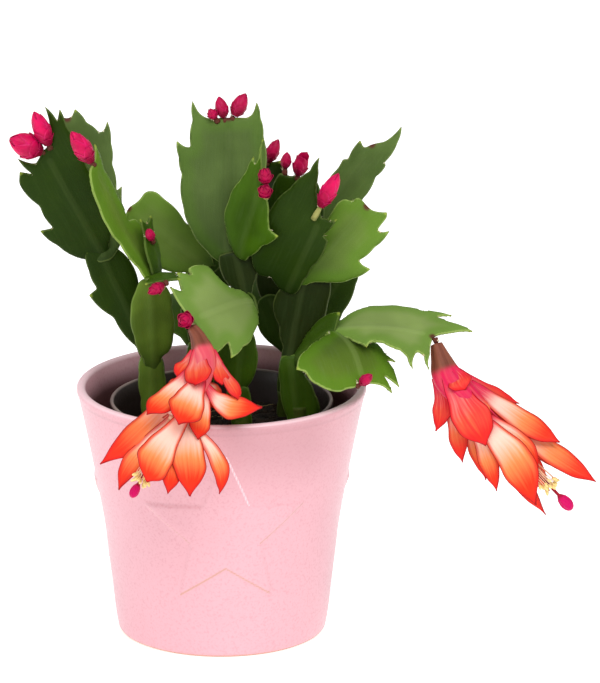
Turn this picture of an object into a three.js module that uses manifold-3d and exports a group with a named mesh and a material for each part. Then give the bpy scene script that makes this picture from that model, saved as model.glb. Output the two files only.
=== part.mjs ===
// A Christmas cactus in bud and flower, potted in a glazed ceramic pot with raised stars.
// Millimetres, +Z up. The origin is the middle of the pot's flat foot. The front faces -Y.

import * as THREE from 'three';
import { mergeVertices } from 'three/addons/utils/BufferGeometryUtils.js';
import Module from 'manifold-3d';

const wasm = await Module();
wasm.setup();

// Driving dimensions
const GAP = 0.3;
const MERGE_DISTANCE = 1e-4;
const POT = {
  height: 98, footRadius: 38.8, rimRadius: 56, wall: 3.6, floor: 5, sides: 42,
  lip: [[52.8, 97.4], [52.3, 96.2]], heel: [[36.2, 7], [33, 5]],
};
const STAR = {
  points: 5, reach: 33, waist: 0.44, relief: 0.9, depth: 1.6, middle: 52, shift: 2, count: 3, cells: 3,
};
const NURSERY = {
  wall: 0.8, floorRadius: 31, rimRadius: 43.2, top: 92, sides: 26,
  // The rim and both sides of the foot, as steps from the rim's top edge and from the floor's edge
  neck: [-2, -5], rim: [[-0.6, -4.6], [0, -0.7], [-0.7, 0], [-1.5, -0.5]],
  foot: [[0, 0], [1, 1.5]], footInside: [[0, 1.8], [-0.8, 0.8]],
};
const SOIL = {
  top: 80, holeFloor: 66, sides: 24, slack: 0.3, chamfer: [1.2, 1.5], edgeDrop: 1,
  // The uneven surface, as radius and step from the top
  surface: [[33, -0.4], [20, 0.6], [9, 0], [0, 0.3]],
};
const TRUNK = { radius: 4, topRadius: 3.4, sides: 8, top: 90 };
const LEAF = {
  edge: 0.45, rib: 1.3, sink: 2.5, neck: 2.2, longSpan: 6,
  bulge: 0.07, hollow: -0.05, ribSteps: 4, sway: 0.05, cupSpan: 10,
};
const SEAT = { depth: 1.3, radius: 1.2, topRadius: 0.9, sides: 6 };
const BUD = { sides: 7, gap: 0.8, shape: [[0.45, 0], [0.85, 0.2], [1, 0.42], [0.82, 0.68], [0.4, 0.9]] };
const FLOWER = { gap: 1.2, sides: 8, rings: 5 };
const PETAL = {
  thickness: 0.8, root: 0.7, bend: 0.62, flare: 0.3, hollow: 0.12,
  shares: [0.34, 0.66, 1, 0.8, 0.12], shown: new THREE.Vector3(0, -0.95, 0.3), roll: 0.55,
};
const STAMENS = {
  count: 5, ring: 1.7, filament: 0.4, filamentSides: 4, anther: 0.9, antherLength: 2.2, antherSides: 5,
  sink: 0.5, spread: 2.7,
  collar: [[1.1, 0], [2.2, 0], [2, 1.4], [1.1, 1.4], [1.1, 0]], collarSides: 10,
};
// The stigma's shape is given as radius and distance short of the tip
const PISTIL = { radius: 0.6, sides: 8, stigma: [[0.6, 6], [1.6, 4.4], [1.9, 2.4], [1.2, 0.5]] };

// Each finish is a colour and a roughness
const FINISH = {
  glaze: [0xf2c4cb, 0.3],
  plastic: [0x2a201c, 0.45],
  soil: [0x1d1511, 0.95],
  green: [0x3f6420, 0.5],
  bud: [0xd81460, 0.4],
  petal: [0xf0603c, 0.5],
  stamen: [0xf5d68c, 0.6],
  pistil: [0xdc0070, 0.4],
};

const part = new THREE.Group();

function material([color, roughness]) {
  return new THREE.MeshStandardMaterial({ color, roughness, metalness: 0 });
}

// Solids: a closed geometry becomes a manifold to join or cut, and comes back as a mesh

function toSolid(geometry) {
  const bare = geometry.index ? geometry.toNonIndexed() : geometry.clone();
  bare.deleteAttribute('normal');
  bare.deleteAttribute('uv');
  const merged = mergeVertices(bare, MERGE_DISTANCE);
  const mesh = new wasm.Mesh({
    numProp: 3,
    vertProperties: Float32Array.from(merged.attributes.position.array),
    triVerts: Uint32Array.from(merged.index.array),
  });
  return new wasm.Manifold(mesh);
}

function toGeometry(solid) {
  const mesh = solid.getMesh();
  const geometry = new THREE.BufferGeometry();
  geometry.setAttribute('position', new THREE.BufferAttribute(Float32Array.from(mesh.vertProperties), 3));
  geometry.setIndex(new THREE.BufferAttribute(Uint32Array.from(mesh.triVerts), 1));
  geometry.computeVertexNormals();
  return geometry;
}

// Fused solids are one body: crumbs cut loose are dropped, and a hollow that fusing seals is filled

function join(solids) {
  const bodies = solids.reduce((whole, next) => whole.add(next)).decompose();
  return bodies.reduce((largest, body) => (body.volume() > largest.volume() ? body : largest));
}

function addPiece(name, solid, finish) {
  const mesh = new THREE.Mesh(toGeometry(solid), finish);
  mesh.name = name;
  part.add(mesh);
}

function vector(place) {
  return new THREE.Vector3(...place);
}

// A turned body from a profile of [radius, height] that starts and ends on the axis

function turned(profile, sides) {
  const geometry = new THREE.LatheGeometry(profile.map(([r, z]) => new THREE.Vector2(r, z)), sides);
  geometry.rotateX(Math.PI / 2);
  return geometry;
}

// The same, with its axis running from a place along a direction

function turnedAlong(profile, sides, start, direction) {
  const geometry = turned(profile, sides);
  const turn = new THREE.Quaternion().setFromUnitVectors(new THREE.Vector3(0, 0, 1), direction);
  geometry.applyQuaternion(turn);
  geometry.translate(start.x, start.y, start.z);
  return toSolid(geometry);
}

// Ceramic pot

const POT_OUTLINE = [
  [POT.footRadius, 0], [40.3, 0.9], [41.3, 7], [42.6, 19], [44.1, 31], [45.5, 43],
  [47.5, 55], [49.7, 67], [52.3, 80], [55.3, 94], [POT.rimRadius, 96.2], [55.2, 97.6], [53.8, POT.height],
];

function potRadius(z) {
  const above = POT_OUTLINE.findIndex(([, height]) => height >= z);
  const [r1, z1] = POT_OUTLINE[Math.max(above, 1)];
  const [r0, z0] = POT_OUTLINE[Math.max(above, 1) - 1];
  return r0 + ((z - z0) / (z1 - z0)) * (r1 - r0);
}

function starPoint(corner) {
  const reach = corner % 2 === 0 ? STAR.reach : STAR.reach * STAR.waist;
  const angle = Math.PI / 2 + (corner * Math.PI) / STAR.points;
  return new THREE.Vector2(reach * Math.cos(angle), reach * Math.sin(angle));
}

// The star's face is cut into small triangles, laid on the wall, and thickened inwards and outwards

function raisedStar(heading) {
  const positions = [];
  const place = (flat, outwards) => {
    const z = STAR.middle + flat.y;
    const turn = heading + flat.x / potRadius(STAR.middle);
    const radius = potRadius(z) + outwards;
    return [radius * Math.cos(turn), radius * Math.sin(turn), z];
  };
  const triangle = (a, b, c) => {
    positions.push(...place(a, STAR.relief), ...place(b, STAR.relief), ...place(c, STAR.relief));
    positions.push(...place(a, -STAR.depth), ...place(c, -STAR.depth), ...place(b, -STAR.depth));
  };
  const wall = (a, b) => {
    positions.push(...place(a, -STAR.depth), ...place(b, -STAR.depth), ...place(b, STAR.relief));
    positions.push(...place(a, -STAR.depth), ...place(b, STAR.relief), ...place(a, STAR.relief));
  };
  for (let corner = 0; corner < 2 * STAR.points; corner += 1) {
    const from = starPoint(corner);
    const to = starPoint(corner + 1);
    const cell = (row, column) => {
      const along = row === 0 ? 0 : column / row;
      return from.clone().lerp(to, along).multiplyScalar(row / STAR.cells);
    };
    for (let row = 0; row < STAR.cells; row += 1) {
      for (let column = 0; column <= row; column += 1) {
        triangle(cell(row, column), cell(row + 1, column), cell(row + 1, column + 1));
        if (column < row) triangle(cell(row, column), cell(row + 1, column + 1), cell(row, column + 1));
      }
    }
    for (let column = 0; column < STAR.cells; column += 1) {
      wall(cell(STAR.cells, column), cell(STAR.cells, column + 1));
    }
  }
  const geometry = new THREE.BufferGeometry();
  geometry.setAttribute('position', new THREE.Float32BufferAttribute(positions, 3));
  return toSolid(geometry);
}

function ceramicPot() {
  const [, lipFoot] = POT.lip[1];
  const [, heelTop] = POT.heel[0];
  const walled = POT_OUTLINE.filter(([, z]) => z > heelTop && z < lipFoot).reverse();
  const inside = walled.map(([r, z]) => [r - POT.wall, z]);
  const profile = [[0, 0], ...POT_OUTLINE, ...POT.lip, ...inside, ...POT.heel, [0, POT.floor]];
  const body = toSolid(turned(profile, POT.sides));
  const front = -Math.PI / 2 + STAR.shift / potRadius(STAR.middle);
  const stars = [];
  for (let i = 0; i < STAR.count; i += 1) stars.push(raisedStar(front + (i * 2 * Math.PI) / STAR.count));
  return join([body, ...stars]);
}

// Nursery pot and soil

const NURSERY_FLOOR = POT.floor + GAP;

function nurseryPot() {
  const { wall, floorRadius, rimRadius, top, sides, neck, rim, foot, footInside } = NURSERY;
  const fromRim = ([r, z]) => [rimRadius + r, top + z];
  const fromFloor = ([r, z]) => [floorRadius + r, NURSERY_FLOOR + z];
  const profile = [
    [0, NURSERY_FLOOR], ...foot.map(fromFloor), fromRim(neck), ...rim.map(fromRim),
    fromRim([neck[0] - wall, neck[1]]), ...footInside.map(fromFloor), [0, NURSERY_FLOOR + wall],
  ];
  return toSolid(turned(profile, sides));
}

// The nursery pot's inner radius at a height, less the gap that the soil keeps

function soilRadius(z) {
  const [footOut, footUp] = NURSERY.foot[1];
  const low = { r: NURSERY.floorRadius + footOut, z: NURSERY_FLOOR + footUp };
  const high = { r: NURSERY.rimRadius + NURSERY.neck[0], z: NURSERY.top + NURSERY.neck[1] };
  const wall = low.r + ((high.r - low.r) * (z - low.z)) / (high.z - low.z);
  return wall - footOut - NURSERY.wall - GAP - SOIL.slack;
}

function soil(trunks) {
  const bottom = NURSERY_FLOOR + NURSERY.wall + GAP;
  const { top, chamfer: [inset, rise], edgeDrop } = SOIL;
  const profile = [
    [0, bottom], [soilRadius(bottom) - inset, bottom], [soilRadius(bottom + rise), bottom + rise],
    [soilRadius(top - edgeDrop), top - edgeDrop], ...SOIL.surface.map(([r, step]) => [r, top + step]),
  ];
  let bed = toSolid(turned(profile, SOIL.sides));
  const depth = top - SOIL.holeFloor;
  const radius = TRUNK.radius + GAP;
  for (const [x, y] of trunks) {
    const hole = new THREE.CylinderGeometry(radius, radius, 2 * depth, TRUNK.sides * 2);
    hole.rotateX(Math.PI / 2);
    hole.translate(x, y, top);
    bed = bed.subtract(toSolid(hole));
  }
  return bed;
}

// Leaf-like stem segments
// A segment runs from base to tip. Its face looks the way of face. left and right list the tooth tips and
// notches on each side, seen on the face with the tip up, as [distance along, distance out].

function leafFrame({ base, tip, face }) {
  const along = vector(tip).sub(vector(base));
  const length = along.length();
  along.normalize();
  const out = vector(face);
  out.addScaledVector(along, -out.dot(along)).normalize();
  const side = new THREE.Vector3().crossVectors(along, out);
  return { origin: vector(base), along, side, out, length };
}

// A long span up to a tooth is rounded outwards. One that falls back from a tooth is hollow.

function roundSpans(points, outwards) {
  const rounded = [];
  points.forEach((point, i) => {
    const last = rounded[rounded.length - 1];
    if (i > 0 && point.distanceTo(last) > LEAF.longSpan) {
      const step = point.clone().sub(last);
      const middle = last.clone().addScaledVector(step, 0.5);
      const bulge = step.x < 0 ? LEAF.hollow : LEAF.bulge;
      rounded.push(middle.add(new THREE.Vector2(-step.y, step.x).multiplyScalar(outwards * bulge)));
    }
    rounded.push(point);
  });
  return rounded;
}

function leaf(spec) {
  const { bow = 0, cup = 0, rib = LEAF.rib, edge = LEAF.edge, neck = LEAF.neck } = spec;
  const { origin, along, side, out, length } = leafFrame(spec);
  const root = -LEAF.sink;
  const left = spec.left.map(([u, v]) => new THREE.Vector2(u, -v));
  const right = spec.right.map(([u, v]) => new THREE.Vector2(u, v));
  left.unshift(new THREE.Vector2(root, -neck));
  right.unshift(new THREE.Vector2(root, neck));
  const leftEdge = roundSpans(left, -1);
  const rightEdge = roundSpans(right, 1);
  const ribLine = [];
  for (let i = 0; i <= LEAF.ribSteps; i += 1) {
    const sway = (i % 2) * LEAF.sway;
    ribLine.push(new THREE.Vector2(root + ((length - root) * i) / LEAF.ribSteps, sway));
  }

  const ribCount = ribLine.length;
  const flat = [...ribLine, ...leftEdge, ...rightEdge];
  const thick = flat.map((_, i) => (i > 0 && i < ribCount - 1 ? rib : edge));

  // The face is arched by bow from base to tip, and its borders are turned by cup
  const place = (point, offset) => {
    const share = point.x / length;
    const lift = 4 * bow * share * (1 - share) + cup * (point.y / LEAF.cupSpan) ** 2;
    const tilt = (4 * bow * (1 - 2 * share)) / length;
    const normal = out.clone().addScaledVector(along, -tilt).normalize();
    return origin.clone().addScaledVector(along, point.x).addScaledVector(side, point.y)
      .addScaledVector(out, lift).addScaledVector(normal, offset);
  };

  const front = flat.map((point, i) => place(point, thick[i]));
  const back = flat.map((point, i) => place(point, -thick[i]));
  const positions = [];
  const push = (...corners) => corners.forEach((corner) => positions.push(corner.x, corner.y, corner.z));

  // Each half is one flat polygon between the rib and its edge, split alike on both faces
  const ribIds = ribLine.map((_, i) => i);
  const leftIds = leftEdge.map((_, i) => ribCount + i);
  const rightIds = rightEdge.map((_, i) => ribCount + leftEdge.length + i).reverse();
  const halves = [[...leftIds, ...ribIds.slice().reverse()], [...ribIds, ...rightIds]];
  for (const half of halves) {
    const contour = half.map((id) => flat[id]);
    for (const triangle of THREE.ShapeUtils.triangulateShape(contour, [])) {
      const [a, b, c] = triangle.map((corner) => half[corner]);
      const area = (flat[b].x - flat[a].x) * (flat[c].y - flat[a].y)
        - (flat[c].x - flat[a].x) * (flat[b].y - flat[a].y);
      const [p, q, r] = area < 0 ? [a, b, c] : [a, c, b];
      push(front[p], front[q], front[r]);
      push(back[p], back[r], back[q]);
    }
  }
  const rim = [0, ...leftIds, ribCount - 1, ...rightIds];
  rim.forEach((id, i) => {
    const next = rim[(i + 1) % rim.length];
    push(front[id], back[next], back[id]);
    push(front[id], front[next], back[next]);
  });

  const geometry = new THREE.BufferGeometry();
  geometry.setAttribute('position', new THREE.Float32BufferAttribute(positions, 3));
  return toSolid(geometry);
}

// The woody foot of a stem stands in its hole in the soil

function trunkFoot([x, y]) {
  const height = TRUNK.top - SOIL.holeFloor - GAP;
  const foot = new THREE.CylinderGeometry(TRUNK.topRadius, TRUNK.radius, height, TRUNK.sides);
  foot.rotateX(Math.PI / 2);
  foot.translate(x, y, TRUNK.top - height / 2);
  return toSolid(foot);
}

const STEMS = {
  front_left: {
    trunk: [-26, -5],
    leaves: {
      foot: {
        base: [-26, -5, 80], tip: [-27, -6, 111], face: [0, -1, 0], rib: 3, edge: 1.5, neck: 3,
        left: [[6, 4], [14, 4.5], [24, 5], [31, 4]],
        right: [[6, 4], [14, 4.5], [24, 5], [31, 4]],
      },
      lower_left: {
        base: [-27, -5, 109], tip: [-47, -2, 153], face: [0.13, -0.98, 0.13], bow: -2,
        left: [[7, 3], [21, 6], [33, 11], [34, 7], [42, 7], [50, 5]],
        right: [[6, 5], [14, 8], [16, 6], [28, 8], [38, 9], [47, 5]],
      },
      lower_front: {
        base: [-26, -7, 107], tip: [-27, -15, 145], face: [0.11, -0.97, -0.2], bow: 1, rib: 1.8,
        left: [[4, 4], [14, 7], [25, 8], [33, 6], [38, 4]],
        right: [[4, 3], [6, 6], [13, 8], [25, 8], [33, 7], [38, 4]],
      },
      upper_left: {
        base: [-46, -2, 152], tip: [-67, -10, 194], face: [0.07, -0.99, -0.15], bow: 1.5,
        left: [
          [0, 8], [10, 13.6], [18.8, 16.7], [17.5, 11.6], [28, 12], [40, 14.8], [44, 12.4], [41, 8.5],
          [49, 10.7], [44, 5.5],
        ],
        right: [
          [1, 4], [8, 8], [21, 9.6], [35, 11.4], [45, 12.2], [52, 11.6], [59.2, 12.6], [55.3, 9.6],
          [62.4, 7.9], [52, 4.9], [49, 4],
        ],
      },
      upper_back: {
        base: [-45, -2, 150], tip: [-59, 14, 200], face: [0, -0.97, 0.22], bow: -1.5,
        left: [[4, 6], [20, 8], [37, 7], [48, 5], [56, 3]],
        right: [
          [4, 8.3], [13.5, 11], [19, 12.2], [24, 13.6], [22.6, 11], [33, 12.1], [41, 13.8], [49.4, 14.6],
          [46.2, 12.4], [46, 10.4], [50.9, 6.8], [57.1, 3.8], [54.6, 2],
        ],
      },
      upper_side: {
        base: [-27, -15, 145], tip: [-48, -22, 192], face: [0.81, -0.49, 0.32], bow: -2,
        left: [[6, 3], [18.6, 5], [28, 7.2], [37, 6.6], [46, 6], [51, 4]],
        right: [
          [3.5, 5.5], [10, 9], [16.7, 11.8], [20.6, 10.4], [22.4, 5.8], [34, 6.2], [46, 5.2], [57.5, 4.8],
          [53, 2],
        ],
      },
      small_side: {
        base: [-24, -14, 145], tip: [-28, -12, 165], face: [0.91, -0.35, 0.2],
        left: [[6, 5], [14, 6], [17, 4], [24, 5]],
        right: [[6, 5], [12, 6], [16, 4], [23, 5]],
      },
      small_front: {
        base: [-23, -14, 145], tip: [-20, -33, 149], face: [-0.15, 0.2, 1], bow: 1,
        left: [[6, 4.5], [12, 5.2], [14, 4], [21, 5]],
        right: [[6, 5], [12, 8], [14, 6], [22, 9]],
      },
    },
  },
  centre: {
    trunk: [8, 2],
    leaves: {
      foot: {
        base: [8, 2, 80], tip: [6, 0, 98], face: [0, -1, 0], rib: 3, edge: 1.5, neck: 3,
        left: [[6, 4], [17, 4]],
        right: [[6, 4], [17, 4]],
      },
      lower: {
        base: [6, 0, 95], tip: [8, -2, 121], face: [0, -1, -0.08], rib: 1.6,
        left: [[2, 5], [7, 10], [16, 11], [21, 8], [26, 5]],
        right: [[2, 4], [11, 7], [19, 6], [25, 4]],
      },
      middle: {
        base: [8, -2, 119], tip: [10, 0, 135], face: [-0.8, -0.6, 0.1], rib: 1.6,
        left: [[4, 6], [11, 8], [16, 5]],
        right: [[4, 6], [11, 8], [16, 5]],
      },
      neck: {
        base: [9, 0, 133], tip: [5, 2, 151], face: [0.09, -0.99, 0.14], rib: 1.6,
        left: [[4, 4], [12, 7], [18, 6]],
        right: [[3, 4], [8, 7], [15, 7]],
      },
      crown: {
        base: [2, 3, 148], tip: [3, 8, 202], face: [0, -1, 0.09], bow: 2.5, cup: -0.6,
        left: [
          [2.5, 8], [11, 14], [19, 16.8], [32, 17.6], [38.5, 18.9], [44.7, 19.8], [42.6, 16.8],
          [42.4, 14.4], [52.8, 13.8], [60.1, 14], [55.4, 11.4], [53.5, 8],
        ],
        right: [
          [2, 7], [16.7, 13.4], [32.3, 14.3], [47, 13.5], [54.1, 12.2], [60.2, 10.6], [56, 9.4],
          [54.2, 7.5],
        ],
      },
      crown_front: {
        base: [8, -1, 150], tip: [16, -13, 182], face: [-0.42, -0.9, -0.15], bow: 1.5,
        left: [
          [0.8, 4.5], [8.8, 8.7], [16.5, 11.1], [22, 10.6], [31.3, 8.8], [37, 7.4], [43.1, 6.6], [40, 5],
          [43, 4.6], [50.9, 5.6], [41.5, 2.4],
        ],
        right: [[0.6, 3], [8.7, 7.2], [16.7, 12.6], [17.6, 8.4], [23, 6.6], [30, 3.8]],
      },
      nodding: {
        base: [12, -2, 131], tip: [-11, -38, 134], face: [0.71, -0.32, 0.63], bow: 5, edge: 0.55,
        left: [
          [5, 6], [11, 10.5], [16.5, 12.8], [21.5, 15.5], [27.9, 16.9], [36.2, 19.3], [33.6, 13.2],
          [38.2, 14.8], [42.9, 15.6], [41.7, 8.8], [42.2, 3.4],
        ],
        right: [
          [4, 4], [12, 6], [17, 8], [19.3, 12.1], [20.7, 17.9], [25.7, 19.3], [32, 19.2], [32.1, 15.9],
          [37.3, 19.6], [39.2, 15], [39.4, 11.8], [42.8, 15.8], [43.4, 10], [43.3, 5.5],
        ],
      },
    },
  },
  right: {
    trunk: [30, -3],
    leaves: {
      foot: {
        base: [30, -3, 80], tip: [26, -3, 111], face: [0, -1, 0], rib: 3, edge: 1.2, neck: 3,
        left: [[6, 4], [20, 5], [31, 3]],
        right: [[2, 4], [6, 9], [14, 8], [22, 5], [31, 3]],
      },
      lower: {
        base: [26, -3, 109], tip: [32, -2, 142], face: [0, -1, 0.03], bow: -1, rib: 1.8,
        left: [[4, 3], [12, 6], [20, 10], [27, 8]],
        right: [[2, 3], [9, 5], [19, 11], [25, 11], [34, 10], [33, 5]],
      },
      upper_front: {
        base: [26, -3, 137], tip: [38.5, -12.5, 167.5], face: [-0.3, -0.93, -0.21], bow: 1.5,
        left: [
          [1, 8], [-1, 12.6], [3.3, 17.1], [15.4, 20], [27.7, 19.2], [39.3, 15.9], [48.5, 12], [54.9, 11],
          [49.4, 8.6], [43.9, 6.8], [38.6, 3.1],
        ],
        right: [
          [1, 4], [7, 4], [13.2, 4.4], [25.7, 6.3], [27.5, 6.1], [28.6, 3.4], [37.1, 5.5], [34.8, 3.4],
          [35.4, 2],
        ],
      },
      upper_right: {
        base: [30, -2, 139], tip: [56, -4, 170], face: [-0.19, -0.98, 0.1], bow: 1.5,
        left: [[6, 3], [18.5, 5.5], [28.4, 8.4], [34, 9.5], [37, 8.4], [38, 5.6], [40.5, 5.2], [41, 3.2]],
        right: [
          [3, 3], [6.4, 6.4], [9.5, 10], [15.5, 14.2], [23.4, 17], [22.4, 13.6], [22.8, 11.4],
          [30.6, 12.6], [39.3, 12.7], [36.6, 10.6], [36.5, 8.9], [42.4, 8.5], [43.9, 7.2], [42, 5],
          [40.6, 2.4],
        ],
      },
      side: {
        base: [29, -4, 109], tip: [44, -14, 124], face: [-0.7, -0.62, 0.34], rib: 1.6,
        left: [[4, 4], [12, 7], [19, 8], [28, 5]],
        right: [[3, 5], [11, 7], [19, 6]],
      },
      long_right: {
        base: [42, -12, 122], tip: [81, -26, 124], face: [-0.07, -0.31, 0.95], bow: 2.5, edge: 0.5,
        left: [
          [2, 8], [5, 13], [10, 15.5], [16, 15.6], [25, 16.4], [33, 15], [44.2, 16.4], [39, 13.2],
          [44, 12.3], [53.8, 10.8], [47, 6.6], [43, 3],
        ],
        right: [
          [3, 3], [9.5, 5.5], [16, 10], [19, 12.5], [19.2, 8], [24, 8.3], [32, 11.6], [36, 15.4],
          [40, 21.4], [38.3, 13.6], [38.4, 10.4], [41.6, 12.2], [45.6, 19.4], [43.5, 10.7], [42, 5.6],
        ],
      },
      drooping: {
        base: [43, -13, 122], tip: [54, -36, 109], face: [0.31, -0.4, 0.86], bow: 4, edge: 0.55,
        left: [
          [4, 6], [11, 12.5], [17.3, 13.7], [21.3, 17], [20.2, 13.2], [25.9, 15.2], [30.9, 15.6],
          [28.4, 12.6], [26.4, 10], [32.8, 12], [30, 8.6], [29, 4.6],
        ],
        right: [
          [2, 3], [7, 10.3], [12.8, 18.4], [18, 24.6], [22, 26.7], [23, 23], [26.5, 22.2], [29.3, 17.7],
          [31, 10], [30, 4],
        ],
      },
    },
  },
  back_left: {
    trunk: [-8, 24],
    leaves: {
      foot: {
        base: [-8, 24, 80], tip: [-9, 24, 109], face: [0, -1, 0], rib: 3, edge: 1.5, neck: 3,
        left: [[6, 4], [20, 5], [28, 4]],
        right: [[6, 4], [20, 5], [28, 4]],
      },
      lower: {
        base: [-9, 24, 107], tip: [-5, 21, 140], face: [0.1, -0.98, 0.1],
        left: [[4, 5], [14, 9], [16, 7], [26, 10], [33, 5]],
        right: [[4, 5], [12, 9], [14, 7], [25, 9], [33, 5]],
      },
      upper_left: {
        base: [-6, 21, 139], tip: [-36, 12, 165], face: [0.26, -0.96, -0.03], bow: 1.5,
        left: [[6, 6.8], [13, 10.6], [23, 11.1], [31.6, 8], [39, 4]],
        right: [[9.4, 6.9], [19.1, 9], [31.5, 11.3], [36.1, 11.8], [39.4, 9.4], [39, 4.6]],
      },
      upper_back: {
        base: [-5, 22, 138], tip: [2, 42, 168], face: [0.3, 0.8, -0.5], bow: 1.5,
        left: [[5, 6], [14, 12], [16, 9], [27, 13], [29, 10], [41, 9], [38, 4]],
        right: [[5, 6], [13, 12], [15, 9], [25, 13], [27, 10], [42, 8], [38, 4]],
      },
      low_back: {
        base: [-9, 25, 106], tip: [-16, 58, 118], face: [0.2, 0.35, -0.9], bow: -5,
        left: [[5, 6], [14, 12], [16, 9], [26, 13], [28, 10], [40, 9], [36, 4]],
        right: [[5, 6], [13, 11], [15, 9], [26, 12], [28, 9], [41, 8], [36, 4]],
      },
    },
  },
  back_right: {
    trunk: [25, 16],
    leaves: {
      foot: {
        base: [25, 16, 80], tip: [29, 20, 109], face: [0, -1, 0], rib: 3, edge: 1.5, neck: 3,
        left: [[6, 4], [20, 5], [28, 4]],
        right: [[6, 4], [20, 5], [28, 4]],
      },
      low_front: {
        base: [27, 18, 105], tip: [18, 15, 130], face: [0.1, -0.98, 0.1],
        left: [[3, 4], [7.9, 7], [13.5, 8.7], [19, 7.9], [26, 4]],
        right: [[3, 4], [12, 6], [24, 4]],
      },
      lower: {
        base: [29, 20, 107], tip: [26, 20, 148], face: [0, -0.97, 0.1],
        left: [[5, 5], [14, 12], [16, 10], [28, 14], [40, 7]],
        right: [[5, 5], [12, 8], [14, 6], [28, 9], [40, 6]],
      },
      side: {
        base: [30, 20, 107], tip: [48, 25, 138], face: [0, -0.99, 0.15], bow: 1,
        left: [[6, 6], [18, 9], [34, 6]],
        right: [[4, 5], [13, 8], [20, 8], [32, 7], [38, 5]],
      },
      upper_right: {
        base: [27, 20, 146], tip: [58, 21, 188], face: [-0.1, -0.99, 0.11], bow: 1.5,
        left: [[8, 4], [26, 4], [37, 4.8], [41, 5.4], [42, 3.8], [50.8, 4.5], [49, 1.5]],
        right: [
          [8, 7], [20, 10], [33, 10], [43, 8.8], [49, 9.3], [49.4, 8.2], [58.9, 7.5], [64.6, 4.9],
          [56, 3.4],
        ],
      },
      upper_front: {
        base: [28, 18, 146], tip: [29.5, 8, 179], face: [0, -0.98, -0.18], bow: 1,
        left: [[4, 8], [17, 12], [27, 10], [35.5, 7], [34, 3]],
        right: [[5, 8], [17, 11], [27, 9], [33, 7], [33, 3]],
      },
      narrow: {
        base: [26, 20, 146], tip: [19, 16, 182], face: [-0.5, -0.85, 0.1],
        left: [[6, 5], [20, 7], [22, 5], [38, 5]],
        right: [[6, 5], [18, 7], [20, 5], [38, 5]],
      },
      low_back: {
        base: [28, 21, 108], tip: [14, 54, 127], face: [-0.2, 0.4, -0.9], bow: -5,
        left: [[5, 6], [14, 12], [16, 9], [27, 13], [29, 10], [42, 9], [38, 4]],
        right: [[5, 6], [13, 11], [15, 9], [26, 12], [28, 9], [41, 8], [38, 4]],
      },
      upper_back: {
        base: [27, 21, 145], tip: [30, 48, 160], face: [0.1, 0.5, -0.8], bow: -2,
        left: [[5, 6], [13, 10], [15, 8], [25, 10], [35, 7], [31, 3]],
        right: [[5, 6], [12, 9], [14, 7], [24, 10], [34, 7], [31, 3]],
      },
    },
  },
};

// Buds and flowers stand on a small cushion that has grown on a segment's tip
// A bud whose stalk is set stands that far off its segment.

const BUDS = {
  bud_left_outer: { stem: 'front_left', base: [-68, -10, 193.2], tip: [-80, -15, 199.6], width: 9.2 },
  bud_left_upper: {
    stem: 'front_left', base: [-65.2, -11.2, 196.2], tip: [-70.5, -16, 210.5], width: 6.6, stalk: 2,
  },
  bud_left_side: {
    stem: 'front_left', base: [-48.6, -22.4, 192.4], tip: [-56, -27, 205.5], width: 6.8, stalk: 2,
  },
  bud_small_side: { stem: 'front_left', base: [-26, -15, 159.6], tip: [-27.5, -20, 165.4], width: 3.4 },
  bud_small_front: { stem: 'front_left', base: [-21, -35, 148], tip: [-27, -41, 146], width: 3.8 },
  bud_crown_left: { stem: 'centre', base: [-1.8, 7, 201.4], tip: [-4.4, 5, 206], width: 3.4 },
  bud_crown_middle: { stem: 'centre', base: [1.4, 8, 201.4], tip: [-0.8, 9, 210], width: 4.8 },
  bud_crown_right: { stem: 'centre', base: [4.8, 8.2, 202], tip: [9.6, 10, 211], width: 5.8 },
  bud_centre_front: { stem: 'centre', base: [17.4, -14, 181.6], tip: [16.8, -18, 188.6], width: 4.6 },
  bud_centre_low: {
    stem: 'centre', base: [17.2, -14.5, 177.2], tip: [16.8, -21, 182], width: 4.4, stalk: 2.5,
  },
  bud_nodding: { stem: 'centre', base: [-11.6, -39.4, 134.8], tip: [-14.5, -46, 137.4], width: 5.2 },
  bud_back_narrow: { stem: 'back_right', base: [17.8, 15.6, 182], tip: [22, 16, 191.3], width: 4.9 },
  bud_back_dark: {
    stem: 'back_right', base: [24.6, 8.4, 181.2], tip: [25.4, 8, 188.3], width: 3.9, stalk: 2,
  },
  bud_back_front: { stem: 'back_right', base: [29.4, 8, 178.6], tip: [31.6, 6, 188], width: 5.4 },
  bud_right_front: { stem: 'right', base: [38, -14, 172.5], tip: [45, -18, 186.9], width: 6, stalk: 6 },
  bud_drooping: { stem: 'right', base: [52.8, -37.9, 109], tip: [57.7, -40.4, 113.8], width: 3.9 },
};

function cushion(base, direction, depth, gap) {
  const foot = base.clone().addScaledVector(direction, -depth);
  const reach = depth + gap - GAP;
  const profile = [[0, 0], [SEAT.radius, 0], [SEAT.topRadius, reach], [0, reach]];
  return turnedAlong(profile, SEAT.sides, foot, direction);
}

function budSeat({ base, tip, stalk = SEAT.depth }) {
  return cushion(vector(base), vector(tip).sub(vector(base)).normalize(), stalk, BUD.gap);
}

function budBody({ base, tip, width }) {
  const axis = vector(tip).sub(vector(base));
  const rise = axis.length() - BUD.gap;
  const direction = axis.normalize();
  const profile = BUD.shape.map(([radius, height]) => [(radius * width) / 2, height * rise]);
  const foot = vector(base).addScaledVector(direction, BUD.gap);
  return turnedAlong([[0, 0], ...profile, [0, rise]], BUD.sides, foot, direction);
}

// Flowers: a tube that widens along a bent spine, with petals that leave it in tiers and curl outwards
// petals are [distance along the spine, tip, widest width, push], where a push moves the middle aside.
// The tube ends at core, from where the stamens and the style run straight to the stigma. The stamens end
// short of it, and swell is the size of the stigma.

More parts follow.
